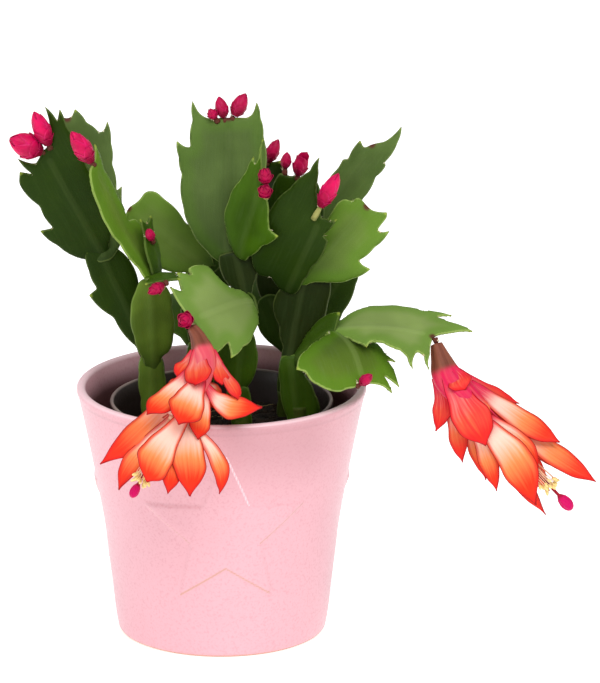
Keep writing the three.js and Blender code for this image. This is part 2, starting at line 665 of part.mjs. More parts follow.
const FLOWERS = {
  left: {
    stem: 'centre', core: 43, swell: 1, short: 9, stigma: [-33, -80, 77.6],
    spine: [[-11, -40, 133], [-8, -44, 129], [-6, -51, 122], [-10, -60, 114], [-18, -70, 104]],
    tube: [[0, 1.9], [6, 3.1], [13, 4.6], [22, 5], [43, 4.2]],
    petals: [
      [12, [-9, -68, 118], 11], [11, [-16, -58, 118], 8], [12, [1, -58, 115], 8],
      [13, [7, -61, 110], 6, [3, -2, -2]], [12, [-11, -38, 111], 9], [23, [-27, -76, 109], 11],
      [21, [-45, -68, 87], 12], [25, [-15, -82, 107], 14], [26, [16, -64, 108], 9.5, [-2, 0, -9]],
      [25, [-8, -72, 98], 11], [23, [-2, -40, 100], 11], [22, [-23, -42, 102], 11],
      [41, [-27, -90, 87], 15, [-4, -6, 0]], [40, [-19, -86, 81], 10],
      [39, [-11, -83, 79], 15, [4, 0, 3]], [41, [0, -74, 77], 7, [16, 0, -4]],
      [41, [-38, -75, 79], 8, [-4, 4, 0]], [40, [-15, -58, 80], 12], [40, [-31, -58, 84], 12],
    ],
  },
  right: {
    stem: 'right', core: 36, swell: 1.3, short: 14, stigma: [134, -45, 61.5],
    spine: [[82, -27, 123], [84, -30, 117], [87, -33, 110], [95, -37, 102], [109, -40, 88]],
    tube: [[0, 2], [6, 3.7], [14, 5.9], [22, 5.8], [36, 4.4]],
    petals: [
      [12, [93, -41, 108], 10], [13, [82, -36, 90], 8, [4, 0, 0]], [14, [101, -48, 88], 15],
      [14, [114, -32, 100], 6], [14, [94, -16, 86], 11], [14, [108, -16, 94], 9], [18, [92, -41, 79], 8],
      [24, [101, -38, 71], 8], [22, [129, -44, 88], 11], [23, [115, -18, 76], 11],
      [22, [100, -20, 75], 9], [30, [119.5, -58, 67.5], 14, [3, 0, 5]], [30, [105, -46, 69], 8],
      [31, [120.5, -50, 76], 9, [5, 0, 5]], [31, [143, -46, 73], 10], [31, [124, -38, 57], 8],
      [31, [126, -24, 62], 11], [31, [138, -26, 72], 9],
    ],
  },
};

function spineOf(flower) {
  return new THREE.CatmullRomCurve3(flower.spine.map(vector), false, 'catmullrom');
}

function spineAt(flower, distance) {
  const curve = spineOf(flower);
  const share = distance / curve.getLength();
  return { point: curve.getPointAt(share), tangent: curve.getTangentAt(share) };
}

function tubeRadius(tube, distance) {
  const next = Math.max(tube.findIndex(([along]) => along >= distance), 1);
  const [d1, r1] = tube[next];
  const [d0, r0] = tube[next - 1];
  return r0 + ((distance - d0) / (d1 - d0)) * (r1 - r0);
}

// Where the tube ends, and the straight way from there to the stigma

function mouthOf(flower) {
  const { point } = spineAt(flower, flower.core);
  const aim = vector(flower.stigma).sub(point);
  const reach = aim.length() - GAP;
  aim.normalize();
  return { foot: point.clone().addScaledVector(aim, GAP), aim, reach };
}

function tubeBody(flower) {
  const { aim } = mouthOf(flower);
  const rings = [];
  for (let i = 0; i <= FLOWER.rings; i += 1) {
    const distance = FLOWER.gap + ((flower.core - FLOWER.gap) * i) / FLOWER.rings;
    const { point, tangent } = spineAt(flower, distance);
    const direction = i === FLOWER.rings ? aim : tangent;
    const across = new THREE.Vector3(0, 1, 0).cross(direction).normalize();
    const over = direction.clone().cross(across);
    const radius = tubeRadius(flower.tube, distance);
    const ring = [];
    for (let k = 0; k < FLOWER.sides; k += 1) {
      const turn = (k * 2 * Math.PI) / FLOWER.sides;
      const corner = point.clone().addScaledVector(across, radius * Math.cos(turn));
      ring.push(corner.addScaledVector(over, radius * Math.sin(turn)));
    }
    rings.push({ point, ring });
  }
  return skin(rings);
}

// A closed body through rings of corners, with a fan at both ends

function skin(rings) {
  const positions = [];
  const triangle = (...corners) => corners.forEach((p) => positions.push(p.x, p.y, p.z));
  const last = rings.length - 1;
  rings.forEach(({ point, ring }, i) => ring.forEach((corner, k) => {
    const after = (k + 1) % ring.length;
    if (i === 0) triangle(point, ring[after], corner);
    if (i === last) {
      triangle(point, corner, ring[after]);
      return;
    }
    const ahead = rings[i + 1].ring;
    triangle(corner, ring[after], ahead[after]);
    triangle(corner, ahead[after], ahead[k]);
  }));
  const geometry = new THREE.BufferGeometry();
  geometry.setAttribute('position', new THREE.Float32BufferAttribute(positions, 3));
  const solid = toSolid(geometry);
  if (solid.volume() < 0) throw new Error('a tube is inside out');
  return solid;
}

function petal(flower, [leaves, tipPlace, width, push = [0, 0, 0]]) {
  const { point, tangent: direction } = spineAt(flower, leaves);
  const tip = vector(tipPlace);
  const reach = tip.clone().sub(point);
  const rise = reach.dot(direction);
  const outwards = reach.clone().addScaledVector(direction, -rise);
  const spread = outwards.length();
  outwards.normalize();
  // Petals at the sides turn part of the way towards the front
  const facing = PETAL.shown.clone().addScaledVector(outwards, PETAL.roll);
  const root = point.clone().addScaledVector(outwards, tubeRadius(flower.tube, leaves) - PETAL.root);
  const side = tip.clone().sub(root).cross(facing).normalize();
  const bend = root.clone().addScaledVector(direction, rise * PETAL.bend)
    .addScaledVector(outwards, spread * PETAL.flare).add(vector(push));
  const path = new THREE.QuadraticBezierCurve3(root, bend, tip);
  const half = PETAL.thickness / 2;
  const rows = PETAL.shares.map((share, i) => {
    const t = i / (PETAL.shares.length - 1);
    const middle = path.getPoint(t);
    const normal = new THREE.Vector3().crossVectors(side, path.getTangent(t)).normalize();
    const reachOut = (share * width) / 2;
    const hollow = i === 0 ? 0 : reachOut * PETAL.hollow;
    return [-1, 0, 1].map((across) => {
      const spot = middle.clone().addScaledVector(side, across * reachOut)
        .addScaledVector(normal, -hollow * across * across);
      return [spot.clone().addScaledVector(normal, half), spot.clone().addScaledVector(normal, -half)];
    });
  });
  return ribbon(rows);
}

// A closed band through rows of [upper, lower] corners

function ribbon(rows) {
  const positions = [];
  const quad = (a, b, c, d) => [a, c, b, a, d, c].forEach((p) => positions.push(p.x, p.y, p.z));
  const last = rows[0].length - 1;
  for (let i = 0; i + 1 < rows.length; i += 1) {
    for (let j = 0; j < last; j += 1) {
      quad(rows[i][j][0], rows[i + 1][j][0], rows[i + 1][j + 1][0], rows[i][j + 1][0]);
      quad(rows[i][j][1], rows[i][j + 1][1], rows[i + 1][j + 1][1], rows[i + 1][j][1]);
    }
    quad(rows[i][0][0], rows[i][0][1], rows[i + 1][0][1], rows[i + 1][0][0]);
    quad(rows[i][last][0], rows[i + 1][last][0], rows[i + 1][last][1], rows[i][last][1]);
  }
  const end = rows.length - 1;
  for (let j = 0; j < last; j += 1) {
    quad(rows[0][j][0], rows[0][j + 1][0], rows[0][j + 1][1], rows[0][j][1]);
    quad(rows[end][j][0], rows[end][j][1], rows[end][j + 1][1], rows[end][j + 1][0]);
  }
  const geometry = new THREE.BufferGeometry();
  geometry.setAttribute('position', new THREE.Float32BufferAttribute(positions, 3));
  const solid = toSolid(geometry);
  if (solid.volume() < 0) throw new Error('a ribbon is inside out');
  return solid;
}

function corolla(flower) {
  return join([tubeBody(flower), ...flower.petals.map((spec) => petal(flower, spec))]);
}

// Stamens: a ring of filaments round the style, each with its anther

function rod(start, end, radius, sides) {
  const direction = end.clone().sub(start);
  const length = direction.length();
  const profile = [[0, 0], [radius, 0], [radius, length], [0, length]];
  return turnedAlong(profile, sides, start, direction.normalize());
}

function stamens(flower) {
  const { foot, aim, reach } = mouthOf(flower);
  const { count, ring, filament, filamentSides, sink, spread } = STAMENS;
  const { anther, antherLength, antherSides } = STAMENS;
  const across = new THREE.Vector3().crossVectors(aim, new THREE.Vector3(0, 0, 1)).normalize();
  const solids = [turnedAlong(STAMENS.collar, STAMENS.collarSides, foot, aim)];
  for (let i = 0; i < count; i += 1) {
    const heading = across.clone().applyAxisAngle(aim, (i * 2 * Math.PI) / count);
    const start = foot.clone().addScaledVector(heading, ring).addScaledVector(aim, sink);
    const rise = reach - flower.short + (i % 3);
    const end = foot.clone().addScaledVector(heading, spread).addScaledVector(aim, rise);
    const step = end.clone().sub(start).normalize();
    solids.push(rod(start, end, filament, filamentSides));
    const head = end.clone().addScaledVector(step, -anther);
    solids.push(turnedAlong([[0, 0], [anther, anther], [0, antherLength]], antherSides, head, step));
  }
  return join(solids);
}

// Style and stigma, through the middle of the stamens

function pistil(flower) {
  const { foot, aim, reach } = mouthOf(flower);
  const stigma = PISTIL.stigma.map(([radius, short], i) => {
    const swell = i === 0 ? 1 : flower.swell;
    return [radius * swell, reach - short * flower.swell];
  });
  return turnedAlong([[0, 0], [PISTIL.radius, 0], ...stigma, [0, reach]], PISTIL.sides, foot, aim);
}

function flowerSeat(flower) {
  const { tangent } = spineAt(flower, 0);
  return cushion(vector(flower.spine[0]), tangent, SEAT.depth, FLOWER.gap);
}

// The whole plant in its pots

addPiece('ceramic_pot', ceramicPot(), material(FINISH.glaze));
addPiece('nursery_pot', nurseryPot(), material(FINISH.plastic));
addPiece('soil', soil(Object.values(STEMS).map(({ trunk }) => trunk)), material(FINISH.soil));

for (const [name, stem] of Object.entries(STEMS)) {
  const own = (piece) => piece.stem === name;
  const leaves = Object.values(stem.leaves).map(leaf);
  const budSeats = Object.values(BUDS).filter(own).map(budSeat);
  const flowerSeats = Object.values(FLOWERS).filter(own).map(flowerSeat);
  const solids = [trunkFoot(stem.trunk), ...leaves, ...budSeats, ...flowerSeats];
  addPiece(`stem_${name}`, join(solids), material(FINISH.green));
}

for (const [name, bud] of Object.entries(BUDS)) {
  addPiece(name, budBody(bud), material(FINISH.bud));
}

for (const [name, flower] of Object.entries(FLOWERS)) {
  addPiece(`flower_${name}_petals`, corolla(flower), material(FINISH.petal));
  addPiece(`flower_${name}_stamens`, stamens(flower), material(FINISH.stamen));
  addPiece(`flower_${name}_pistil`, pistil(flower), material(FINISH.pistil));
}

export default part;
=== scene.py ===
"""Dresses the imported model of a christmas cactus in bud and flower, in its glazed pot with raised stars.

Outlines are given in millimetres and every mesh is placed in metres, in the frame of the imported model.
"""

from __future__ import annotations

import logging
import math
import random
from collections.abc import Iterable, Sequence
from dataclasses import dataclass
from enum import Enum

import bmesh
import bpy
from mathutils import Matrix, Vector, noise
from mathutils.kdtree import KDTree


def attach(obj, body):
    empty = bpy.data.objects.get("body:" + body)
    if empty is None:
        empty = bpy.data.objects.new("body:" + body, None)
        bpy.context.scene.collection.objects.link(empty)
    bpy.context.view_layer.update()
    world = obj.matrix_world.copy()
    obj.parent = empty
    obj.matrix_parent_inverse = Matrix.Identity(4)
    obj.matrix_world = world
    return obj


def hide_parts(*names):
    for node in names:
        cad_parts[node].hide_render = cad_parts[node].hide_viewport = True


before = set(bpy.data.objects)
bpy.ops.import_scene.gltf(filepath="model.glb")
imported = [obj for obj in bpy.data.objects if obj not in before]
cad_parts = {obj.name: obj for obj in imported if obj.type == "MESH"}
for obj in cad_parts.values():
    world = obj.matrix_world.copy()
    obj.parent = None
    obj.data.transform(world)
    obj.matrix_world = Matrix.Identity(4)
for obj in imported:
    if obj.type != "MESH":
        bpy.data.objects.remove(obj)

# MM is a millimetre in metres. Other lengths are in millimetres, and at FAR no mark shows
MM = 0.001
TAU = 2 * math.pi
CLEARANCE = 0.3
FAR = 9.0
BODY = "root"
log = logging.getLogger("cactus")

Outline = Sequence[tuple[float, float]]
Span = tuple[float, float]
Place = tuple[float, float, float]
Mesh = bmesh.types.BMesh
Vert = bmesh.types.BMVert
Face = bmesh.types.BMFace
Object = bpy.types.Object
Material = bpy.types.Material
NodeTree = bpy.types.NodeTree
Node = bpy.types.Node
Socket = bpy.types.NodeSocket


# Colours and shader wiring


@dataclass(frozen=True)
class Shade:
    """A colour as a paint chart gives it, each part from 0 to 255."""

    red: int
    green: int
    blue: int

    def linear(self) -> tuple[float, float, float, float]:
        """Gives the colour in the linear values that shaders use.

        Returns:
            Red, green, blue and full opacity.
        """
        parts = [value / 255 for value in (self.red, self.green, self.blue)]
        steps = [p / 12.92 if p <= 0.04045 else ((p + 0.055) / 1.055) ** 2.4 for p in parts]
        return (*steps, 1.0)


@dataclass(frozen=True)
class Coat:
    """A colour to lay over another, its greatest strength, and its width along a border in millimetres."""

    shade: Shade
    strength: float = 1.0
    width: float = 0.0


@dataclass
class Wiring:
    """Adds nodes to one shader tree and joins their sockets."""

    tree: NodeTree

    def node(self, kind: str, values: dict | None = None, **settings: object) -> Node:
        """Adds a node.

        Args:
            kind: The node's type name.
            values: A value, a Shade or a socket for each named or numbered input.
            settings: The node's own properties.

        Returns:
            The new node.
        """
        made = self.tree.nodes.new(kind)
        for name, value in settings.items():
            setattr(made, name, value)
        for name, value in (values or {}).items():
            self.feed(made.inputs[name], value)
        return made

    def feed(self, socket: Socket, value: object) -> None:
        """Links a socket to an input, or sets the input's own value.

        Args:
            socket: The input.
            value: A value, a Shade or a socket.
        """
        if isinstance(value, Socket):
            self.tree.links.new(value, socket)
        elif isinstance(value, Shade):
            socket.default_value = value.linear()
        else:
            socket.default_value = value

    def attribute(self, name: str, output: str = "Fac") -> Socket:
        """Reads a named attribute of the mesh."""
        return self.node("ShaderNodeAttribute", attribute_name=name).outputs[output]

    def parts(self, vector: Socket | str) -> list[Socket]:
        """Splits a vector, or an attribute that is named, into its three values."""
        vector = self.attribute(vector, "Vector") if isinstance(vector, str) else vector
        return list(self.node("ShaderNodeSeparateXYZ", {"Vector": vector}).outputs)

    def maths(self, operation: str, first: object, second: object = 0.0) -> Socket:
        """Gives the result of one sum of two values."""
        return self.node("ShaderNodeMath", {0: first, 1: second}, operation=operation).outputs[0]

    def times(self, first: object, second: object) -> Socket:
        """Multiplies two values."""
        return self.maths("MULTIPLY", first, second)

    def blend(self, factor: object, first: object, second: object) -> Socket:
        """Mixes two colours by a factor."""
        return self.node("ShaderNodeMix", {0: factor, 6: first, 7: second}, data_type="RGBA").outputs[2]

    def span(self, value: object, low: float, high: float, first: float = 0.0, last: float = 1.0) -> Socket:
        """Eases from first to last while a value goes from low to high."""
        values = {"Value": value, "From Min": low, "From Max": high, "To Min": first, "To Max": last}
        return self.node("ShaderNodeMapRange", values, interpolation_type="SMOOTHSTEP").outputs["Result"]

    def noise(self, vector: object, scale: object, detail: float, roughness: float = 0.5) -> Socket:
        """Gives cloudy noise from 0 to 1."""
        values = {"Vector": vector, "Scale": scale, "Detail": detail, "Roughness": roughness}
        return self.node("ShaderNodeTexNoise", values).outputs[0]

    def bump(self, height: object, depth: float, strength: float) -> Socket:
        """Turns a height from 0 to 1 into a surface normal, with its depth in metres."""
        values = {"Height": height, "Distance": depth, "Strength": strength}
        return self.node("ShaderNodeBump", values).outputs["Normal"]


class Effect(Enum):
    """Surface effects that several finishes share, each a shader group."""

    MOTTLE = "mottle"
    BORDER = "border"
    STREAKS = "streaks"


class EffectShelf:
    """Builds each shared effect once, when it is first asked for."""

    def __init__(self) -> None:
        """Starts with no group built."""
        self.built: dict[Effect, NodeTree] = {}

    def group(self, effect: Effect) -> NodeTree:
        """Gives an effect's group.

        Args:
            effect: The effect.

        Returns:
            Its group.
        """
        if effect not in self.built:
            self.built[effect] = getattr(self, effect.value)()
        return self.built[effect]

    @staticmethod
    def blank(
        name: str, inputs: Sequence[str], outputs: Sequence[str],
    ) -> tuple[Wiring, list[Socket], Node]:
        """Makes an empty group with its sockets. An input named Vector is one, and all others are values.

        Args:
            name: The group's name.
            inputs: The names of its inputs.
            outputs: Those of its outputs.

        Returns:
            Its wiring, its inputs' sockets and the node that takes its outputs.
        """
        tree = bpy.data.node_groups.new(name, "ShaderNodeTree")
        for socket in inputs:
            kind = "NodeSocketVector" if socket == "Vector" else "NodeSocketFloat"
            tree.interface.new_socket(socket, in_out="INPUT", socket_type=kind)
        for socket in outputs:
            tree.interface.new_socket(socket, in_out="OUTPUT", socket_type="NodeSocketFloat")
        wiring = Wiring(tree)
        return wiring, list(wiring.node("NodeGroupInput").outputs), wiring.node("NodeGroupOutput")

    def mottle(self) -> NodeTree:
        """Cloudy patches with a fine grain in them.

        Returns:
            The group.
        """
        wiring, inputs, end = self.blank("mottle", ("Vector", "Patch", "Grain"), ("Patches", "Grain"))
        vector, patch, grain = inputs[:3]
        wiring.feed(end.inputs["Patches"], wiring.span(wiring.noise(vector, patch, 2.0), 0.3, 0.7))
        wiring.feed(end.inputs["Grain"], wiring.noise(vector, grain, 4.0))
        return wiring.tree

    def border(self) -> NodeTree:
        """A mask that is full at a border and fades over a width, both as distances in millimetres.

        Returns:
            The group.
        """
        wiring, inputs, end = self.blank("border", ("Distance", "Width"), ("Mask",))
        share = wiring.maths("DIVIDE", inputs[0], inputs[1])
        wiring.feed(end.inputs["Mask"], wiring.span(share, 0.35, 1.0, 1.0, 0.0))
        return wiring.tree

    def streaks(self) -> NodeTree:
        """Fine lines that run along a leaf or petal.

        Returns:
            The group.
        """
        wiring, inputs, end = self.blank("streaks", ("Vector", "Across", "Along"), ("Lines",))
        along, across, seed = wiring.parts(inputs[0])
        values = {0: wiring.times(along, inputs[2]), 1: wiring.times(across, inputs[1]), 2: seed}
        stretched = wiring.node("ShaderNodeCombineXYZ", values).outputs[0]
        wiring.feed(end.inputs["Lines"], wiring.noise(stretched, 1.0, 2.0, 0.55))
        return wiring.tree


EFFECTS = EffectShelf()


class Surface(Wiring):
    """The wiring of one material, which ends in its Principled shader."""

    def __init__(self, name: str) -> None:
        """Starts a material with its plain name.

        Args:
            name: The finish's plain name.
        """
        self.material = bpy.data.materials.new(name)
        self.material.use_nodes = True
        super().__init__(self.material.node_tree)
        self.shader = self.tree.nodes["Principled BSDF"]

    def effect(self, effect: Effect, values: dict) -> list[Socket]:
        """Places a shared effect with its own values and gives its outputs."""
        return list(self.node("ShaderNodeGroup", values, node_tree=EFFECTS.group(effect)).outputs)

    def streaked(self, vector: object, across: float, along: float) -> Socket:
        """Gives fine lines, packed by across and broken by along."""
        return self.effect(Effect.STREAKS, {"Vector": vector, "Across": across, "Along": along})[0]

    def near_border(self, distance: object, width: float) -> Socket:
        """Gives the mask of a border."""
        return self.effect(Effect.BORDER, {"Distance": distance, "Width": width})[0]

    def lay(self, colour: object, coat: Coat, mask: object) -> Socket:
        """Lays a coat over a colour where a mask is full."""
        factor = mask if coat.strength == 1 else self.times(mask, coat.strength)
        return self.blend(factor, colour, coat.shade)

    def lay_border(self, colour: object, coat: Coat, distance: object) -> Socket:
        """Lays a coat over a colour along a border."""
        return self.lay(colour, coat, self.near_border(distance, coat.width))

    def complete(self, values: dict) -> Material:
        """Feeds the shader's own sockets and gives the material.

        Args:
            values: A value, a Shade or a socket for each input.

        Returns:
            The material.
        """
        for name, value in values.items():
            self.feed(self.shader.inputs[name], value)
        return self.material


# Finishes


@dataclass(frozen=True)
class Finish:
    """What the finishes share.

    patch and grain are the scales of the cloudy patches and of their grain, rough holds the least and the
    greatest roughness, depth is that of the bumps in metres and bumps their strength, and glow is how much
    light passes under the surface, glow_reach how far in millimetres for red, green and blue.
    """

    name: str
    patch: float = 500.0
    grain: float = 3500.0
    rough: Span = (0.34, 0.5)
    depth: float = 0.0
    bumps: float = 1.0
    specular: float = 0.5
    glow: float = 0.0
    glow_reach: Place = (1.0, 1.0, 1.0)

    def mottled(self, surface: Surface, vector: object = None) -> list[Socket]:
        """Gives the mask of the cloudy patches and their fine grain.

        Args:
            surface: The material's wiring.
            vector: The place that they follow, if not the one on the object.

        Returns:
            The patches and the grain.
        """
        if vector is None:
            vector = surface.node("ShaderNodeTexCoord").outputs["Object"]
        return surface.effect(Effect.MOTTLE, {"Vector": vector, "Patch": self.patch, "Grain": self.grain})

    def roughness(self, surface: Surface, texture: object) -> object:
        """Gives the roughness, which follows a texture where it isn't even."""
        low, high = self.rough
        return low if low == high else surface.span(texture, 0.3, 0.7, low, high)

    def complete(
        self, surface: Surface, colour: object, texture: object, height: object = None,
    ) -> Material:
        """Feeds the shader.

        Args:
            surface: The material's wiring.
            colour: The finished colour.
            texture: What the roughness follows.
            height: What the bumps follow, if that is something else.

        Returns:
            The material.
        """
        values = {
            "Base Color": colour, "Roughness": self.roughness(surface, texture),
            "Specular IOR Level": self.specular,
        }
        if self.depth:
            values["Normal"] = surface.bump(texture if height is None else height, self.depth, self.bumps)
        if self.glow:
            values["Subsurface Weight"] = self.glow
            values["Subsurface Radius"] = self.glow_reach
            values["Subsurface Scale"] = MM
        return surface.complete(values)


@dataclass(frozen=True)
class PinkGlaze(Finish):
    """Glossy pink glaze with a faint speckle, brownish below the raised stars.

    It has a painted highlight on the stars' right edges and on the rim, painted shade inside the pot and a
    painted shadow on the upper front wall.
    """

    name: str = "pink_glaze_finish"
    patch: float = 24.0
    grain: float = 1100.0
    rough: Span = (0.28, 0.42)
    depth: float = 0.00006
    bumps: float = 0.5
    body: Shade = Shade(220, 167, 176)
    cloud: Coat = Coat(Shade(226, 176, 185), 0.35)
    speckle: Coat = Coat(Shade(210, 150, 158), 0.6)
    thin: Coat = Coat(Shade(196, 148, 120), 0.65, 0.6)
    clay: Coat = Coat(Shade(196, 148, 120))
    # The next three coats are painted: shade inside the pot, a shadow on the upper front wall, and
    # highlights.
    painted_inner_shade: Coat = Coat(Shade(72, 40, 38))
    painted_shadow: Coat = Coat(Shade(182, 130, 136), 0.6)
    painted_highlight: Coat = Coat(Shade(248, 216, 222), 0.65, 0.55)
    clay_rough: float = 0.8
    speckle_range: Span = (0.46, 0.7)
    specular_range: Span = (0.35, 0.04)
    gloss_range: Span = (0.15, 0.0)
    gloss_rough: float = 0.12

    def material(self) -> Material:
        """Builds the glaze. Inside the pot painted shade darkens it and it loses its shine.

        Returns:
            The material.
        """
        surface = Surface(self.name)
        patches, grain = self.mottled(surface)
        star_line, clay, inside = surface.parts("glaze")
        lip, shine, painted_shadow = surface.parts("lip")
        colour = surface.lay(self.body, self.cloud, patches)
        colour = surface.lay(colour, self.speckle, surface.span(grain, *self.speckle_range))
        colour = surface.lay_border(colour, self.thin, star_line)
        colour = surface.lay(colour, self.clay, clay)
        # Painted shade on the inner wall, deeper below the mouth.
        colour = surface.lay(colour, self.painted_inner_shade, inside)
        # Painted shadow on the upper front wall, right of the middle.
        colour = surface.lay(colour, self.painted_shadow, painted_shadow)
        # Painted highlight along the top of the rim and on the stars' right edges.
        lit = surface.maths("MAXIMUM", lip, surface.near_border(shine, self.painted_highlight.width))
        colour = surface.lay(colour, self.painted_highlight, lit)
        bare = surface.times(clay, self.clay_rough)
        return surface.complete({
            "Base Color": colour,
            "Roughness": surface.maths("MAXIMUM", self.roughness(surface, grain), bare),
            "Normal": surface.bump(grain, self.depth, self.bumps),
            "Specular IOR Level": surface.span(inside, 0.2, 1.0, *self.specular_range),
            "Coat Weight": surface.span(inside, 0.0, 0.8, *self.gloss_range),
            "Coat Roughness": self.gloss_rough,
        })


@dataclass(frozen=True)
class NurseryPlastic(Finish):
    """Thin dark brown plastic, with a painted highlight along the top of its rolled rim, stronger in
    patches.
    """

    name: str = "nursery_plastic_finish"
    patch: float = 60.0
    grain: float = 900.0
    depth: float = 0.00005
    bumps: float = 0.4
    body: Shade = Shade(38, 26, 22)
    # The colour of the painted highlight on the rim.
    painted_rim_highlight: Coat = Coat(Shade(150, 130, 122))
    least_rim_highlight: float = 0.55

    def material(self) -> Material:
        """Builds the plastic.

        Returns:
            The material.
        """
        surface = Surface(self.name)
        patches, grain = self.mottled(surface)
        # Painted highlight on the top of the rim, stronger in patches.
        rim_highlight_share = surface.span(patches, 0.0, 1.0, self.least_rim_highlight, 1.0)
        colour = surface.lay(self.body, self.painted_rim_highlight, surface.times(surface.attribute("rim"), rim_highlight_share))
        return self.complete(surface, colour, grain)


@dataclass(frozen=True)
class PottingSoil(Finish):
    """Damp dark peat with lighter crumbs and a few pale roots."""

    name: str = "potting_soil_finish"
    patch: float = 220.0
    grain: float = 1400.0
    rough: Span = (0.95, 0.95)
    depth: float = 0.0006
    bumps: float = 0.8
    specular: float = 0.2
    damp: Shade = Shade(20, 14, 10)
    dry: Coat = Coat(Shade(58, 44, 32))
    root: Coat = Coat(Shade(128, 112, 78))

    def material(self) -> Material:
        """Builds the soil.

        Returns:
            The material.
        """
        surface = Surface(self.name)
        patches, grain = self.mottled(surface)
        colour = surface.lay(self.damp, self.dry, surface.times(patches, grain))
        colour = surface.lay(colour, self.root, surface.attribute("root"))
        return self.complete(surface, colour, grain)


@dataclass(frozen=True)
class CactusFlesh(Finish):
    """Waxy green flesh in each segment's own green, with other colours at its border, teeth and scars.

    It has painted shade towards its base and along its midrib, and streaks of painted sheen.
    """

    name: str = "cactus_flesh_finish"
    patch: float = 0.07
    grain: float = 2.2
    rough: Span = (0.4, 0.55)
    depth: float = 0.00022
    bumps: float = 0.6
    specular: float = 0.08
    glow: float = 0.05
    glow_reach: Place = (0.6, 1.0, 0.2)
    line_across: float = 1.1
    line_along: float = 0.1
    line_bump: float = 0.12
    grain_bump: float = 0.7
    pale_range: Span = (0.15, 0.6)
    cloud_range: Span = (0.38, 0.16)
    border_green_range: Span = (0.0, 0.5)
    painted_sheen_range: Span = (0.45, 0.75)
    vein_range: Span = (0.03, 0.14)
    patches: Coat = Coat(Shade(26, 44, 10))
    # A painted sheen in streaks, then painted shade, then the saturated green along a pale segment's border.
    painted_sheen: Coat = Coat(Shade(122, 146, 96), 0.16)
    shadow: Coat = Coat(Shade(26, 44, 10), 0.7)
    border_green: Coat = Coat(Shade(82, 124, 18), 1.0, 7.0)
    vein: Coat = Coat(Shade(158, 178, 108), 1.0, 1.8)
    border: Coat = Coat(Shade(168, 188, 104), 0.8, 0.5)
    tooth: Coat = Coat(Shade(150, 166, 62), 0.6, 1.8)
    scar: Coat = Coat(Shade(84, 30, 34), 0.9, 2.2)

    def material(self) -> Material:
        """Builds the flesh. The paler a segment's border is, the more painted sheen and painted highlight at
        its rim it takes, the more even it is and the greener the band along its border.

        Returns:
            The material.
        """
        surface = Surface(self.name)
        spot = surface.attribute("surface", "Vector")
        margin, tooth, paleness = surface.parts("edges")
        vein, scar, base = surface.parts("marks")
        patches, grain = self.mottled(surface, spot)
        lines = surface.streaked(spot, self.line_across, self.line_along)
        clouds = surface.times(patches, surface.span(paleness, *self.pale_range, *self.cloud_range))
        colour = surface.lay(surface.attribute("tint", "Color"), self.patches, clouds)
        # Streaks of painted sheen, the more the paler the segment's border.
        painted_sheen = surface.times(surface.span(lines, *self.painted_sheen_range), paleness)
        colour = surface.lay(colour, self.painted_sheen, painted_sheen)
        # Painted shade towards the segment's base and along its midrib.
        colour = surface.lay(colour, self.shadow, base)
        # Pale segments, whose pale middle is partly painted sheen, keep a saturated green along their
        # border.
        outer = surface.near_border(margin, self.border_green.width)
        border_green_share = surface.times(outer, surface.span(paleness, *self.pale_range, *self.border_green_range))
        colour = surface.lay(colour, self.border_green, border_green_share)
        ribs = surface.near_border(vein, self.vein.width)
        ribs = surface.times(ribs, surface.span(paleness, 0.5, 0.6, *self.vein_range))
        colour = surface.lay(colour, self.vein, ribs)
        # A pale rim, partly the margin's own paler green and partly a painted highlight where light catches
        # the edge.
        rim = surface.times(surface.near_border(margin, self.border.width), paleness)
        colour = surface.lay(colour, self.border, rim)
        colour = surface.lay_border(colour, self.tooth, tooth)
        colour = surface.lay_border(colour, self.scar, scar)
        fine = surface.times(grain, self.grain_bump)
        height = surface.maths("ADD", surface.times(lines, self.line_bump), fine)
        return self.complete(surface, colour, lines, height)


@dataclass(frozen=True)
class AreoleWool(Finish):
    """Pale wool and bristles of the areoles in the notches."""

    name: str = "areole_wool_finish"
    patch: float = 700.0
    grain: float = 3000.0
    rough: Span = (0.8, 0.8)
    wool: Shade = Shade(226, 220, 190)
    tip: Coat = Coat(Shade(186, 160, 110))

    def material(self) -> Material:
        """Builds the wool.

        Returns:
            The material.
        """
        surface = Surface(self.name)
        patches, grain = self.mottled(surface)
        return self.complete(surface, surface.lay(self.wool, self.tip, patches), grain)


@dataclass(frozen=True)
class BudSkin(Finish):
    """Hot magenta skin of the closed buds, darker low down and on the dark buds, with painted shade in the
    folds.
    """

    name: str = "bud_skin_finish"
    patch: float = 260.0
    grain: float = 2600.0
    depth: float = 0.00012
    bumps: float = 0.6
    specular: float = 0.15
    glow: float = 0.05
    glow_reach: Place = (1.0, 0.25, 0.35)
    body: Shade = Shade(212, 6, 84)
    low: Coat = Coat(Shade(112, 4, 36), 0.85)
    patches: Coat = Coat(Shade(112, 4, 36), 0.45)
    edge: Coat = Coat(Shade(228, 44, 122), 0.4)
    fold: Coat = Coat(Shade(112, 4, 36), 0.8)

    def material(self) -> Material:
        """Builds the skin.

        Returns:
            The material.
        """
        surface = Surface(self.name)
        along, across, depth = surface.parts("scale")
        patches, grain = self.mottled(surface)
        colour = surface.lay(self.body, self.low, surface.span(along, 0.0, 0.6, 1.0, 0.0))
        colour = surface.lay(colour, self.patches, patches)
        colour = surface.lay(colour, self.edge, surface.span(surface.maths("ABSOLUTE", across), 0.7, 1.0))
        # Painted shade in the folds between the scales, and the darker skin of the dark buds.
        colour = surface.lay(colour, self.fold, depth)
        return self.complete(surface, colour, grain)


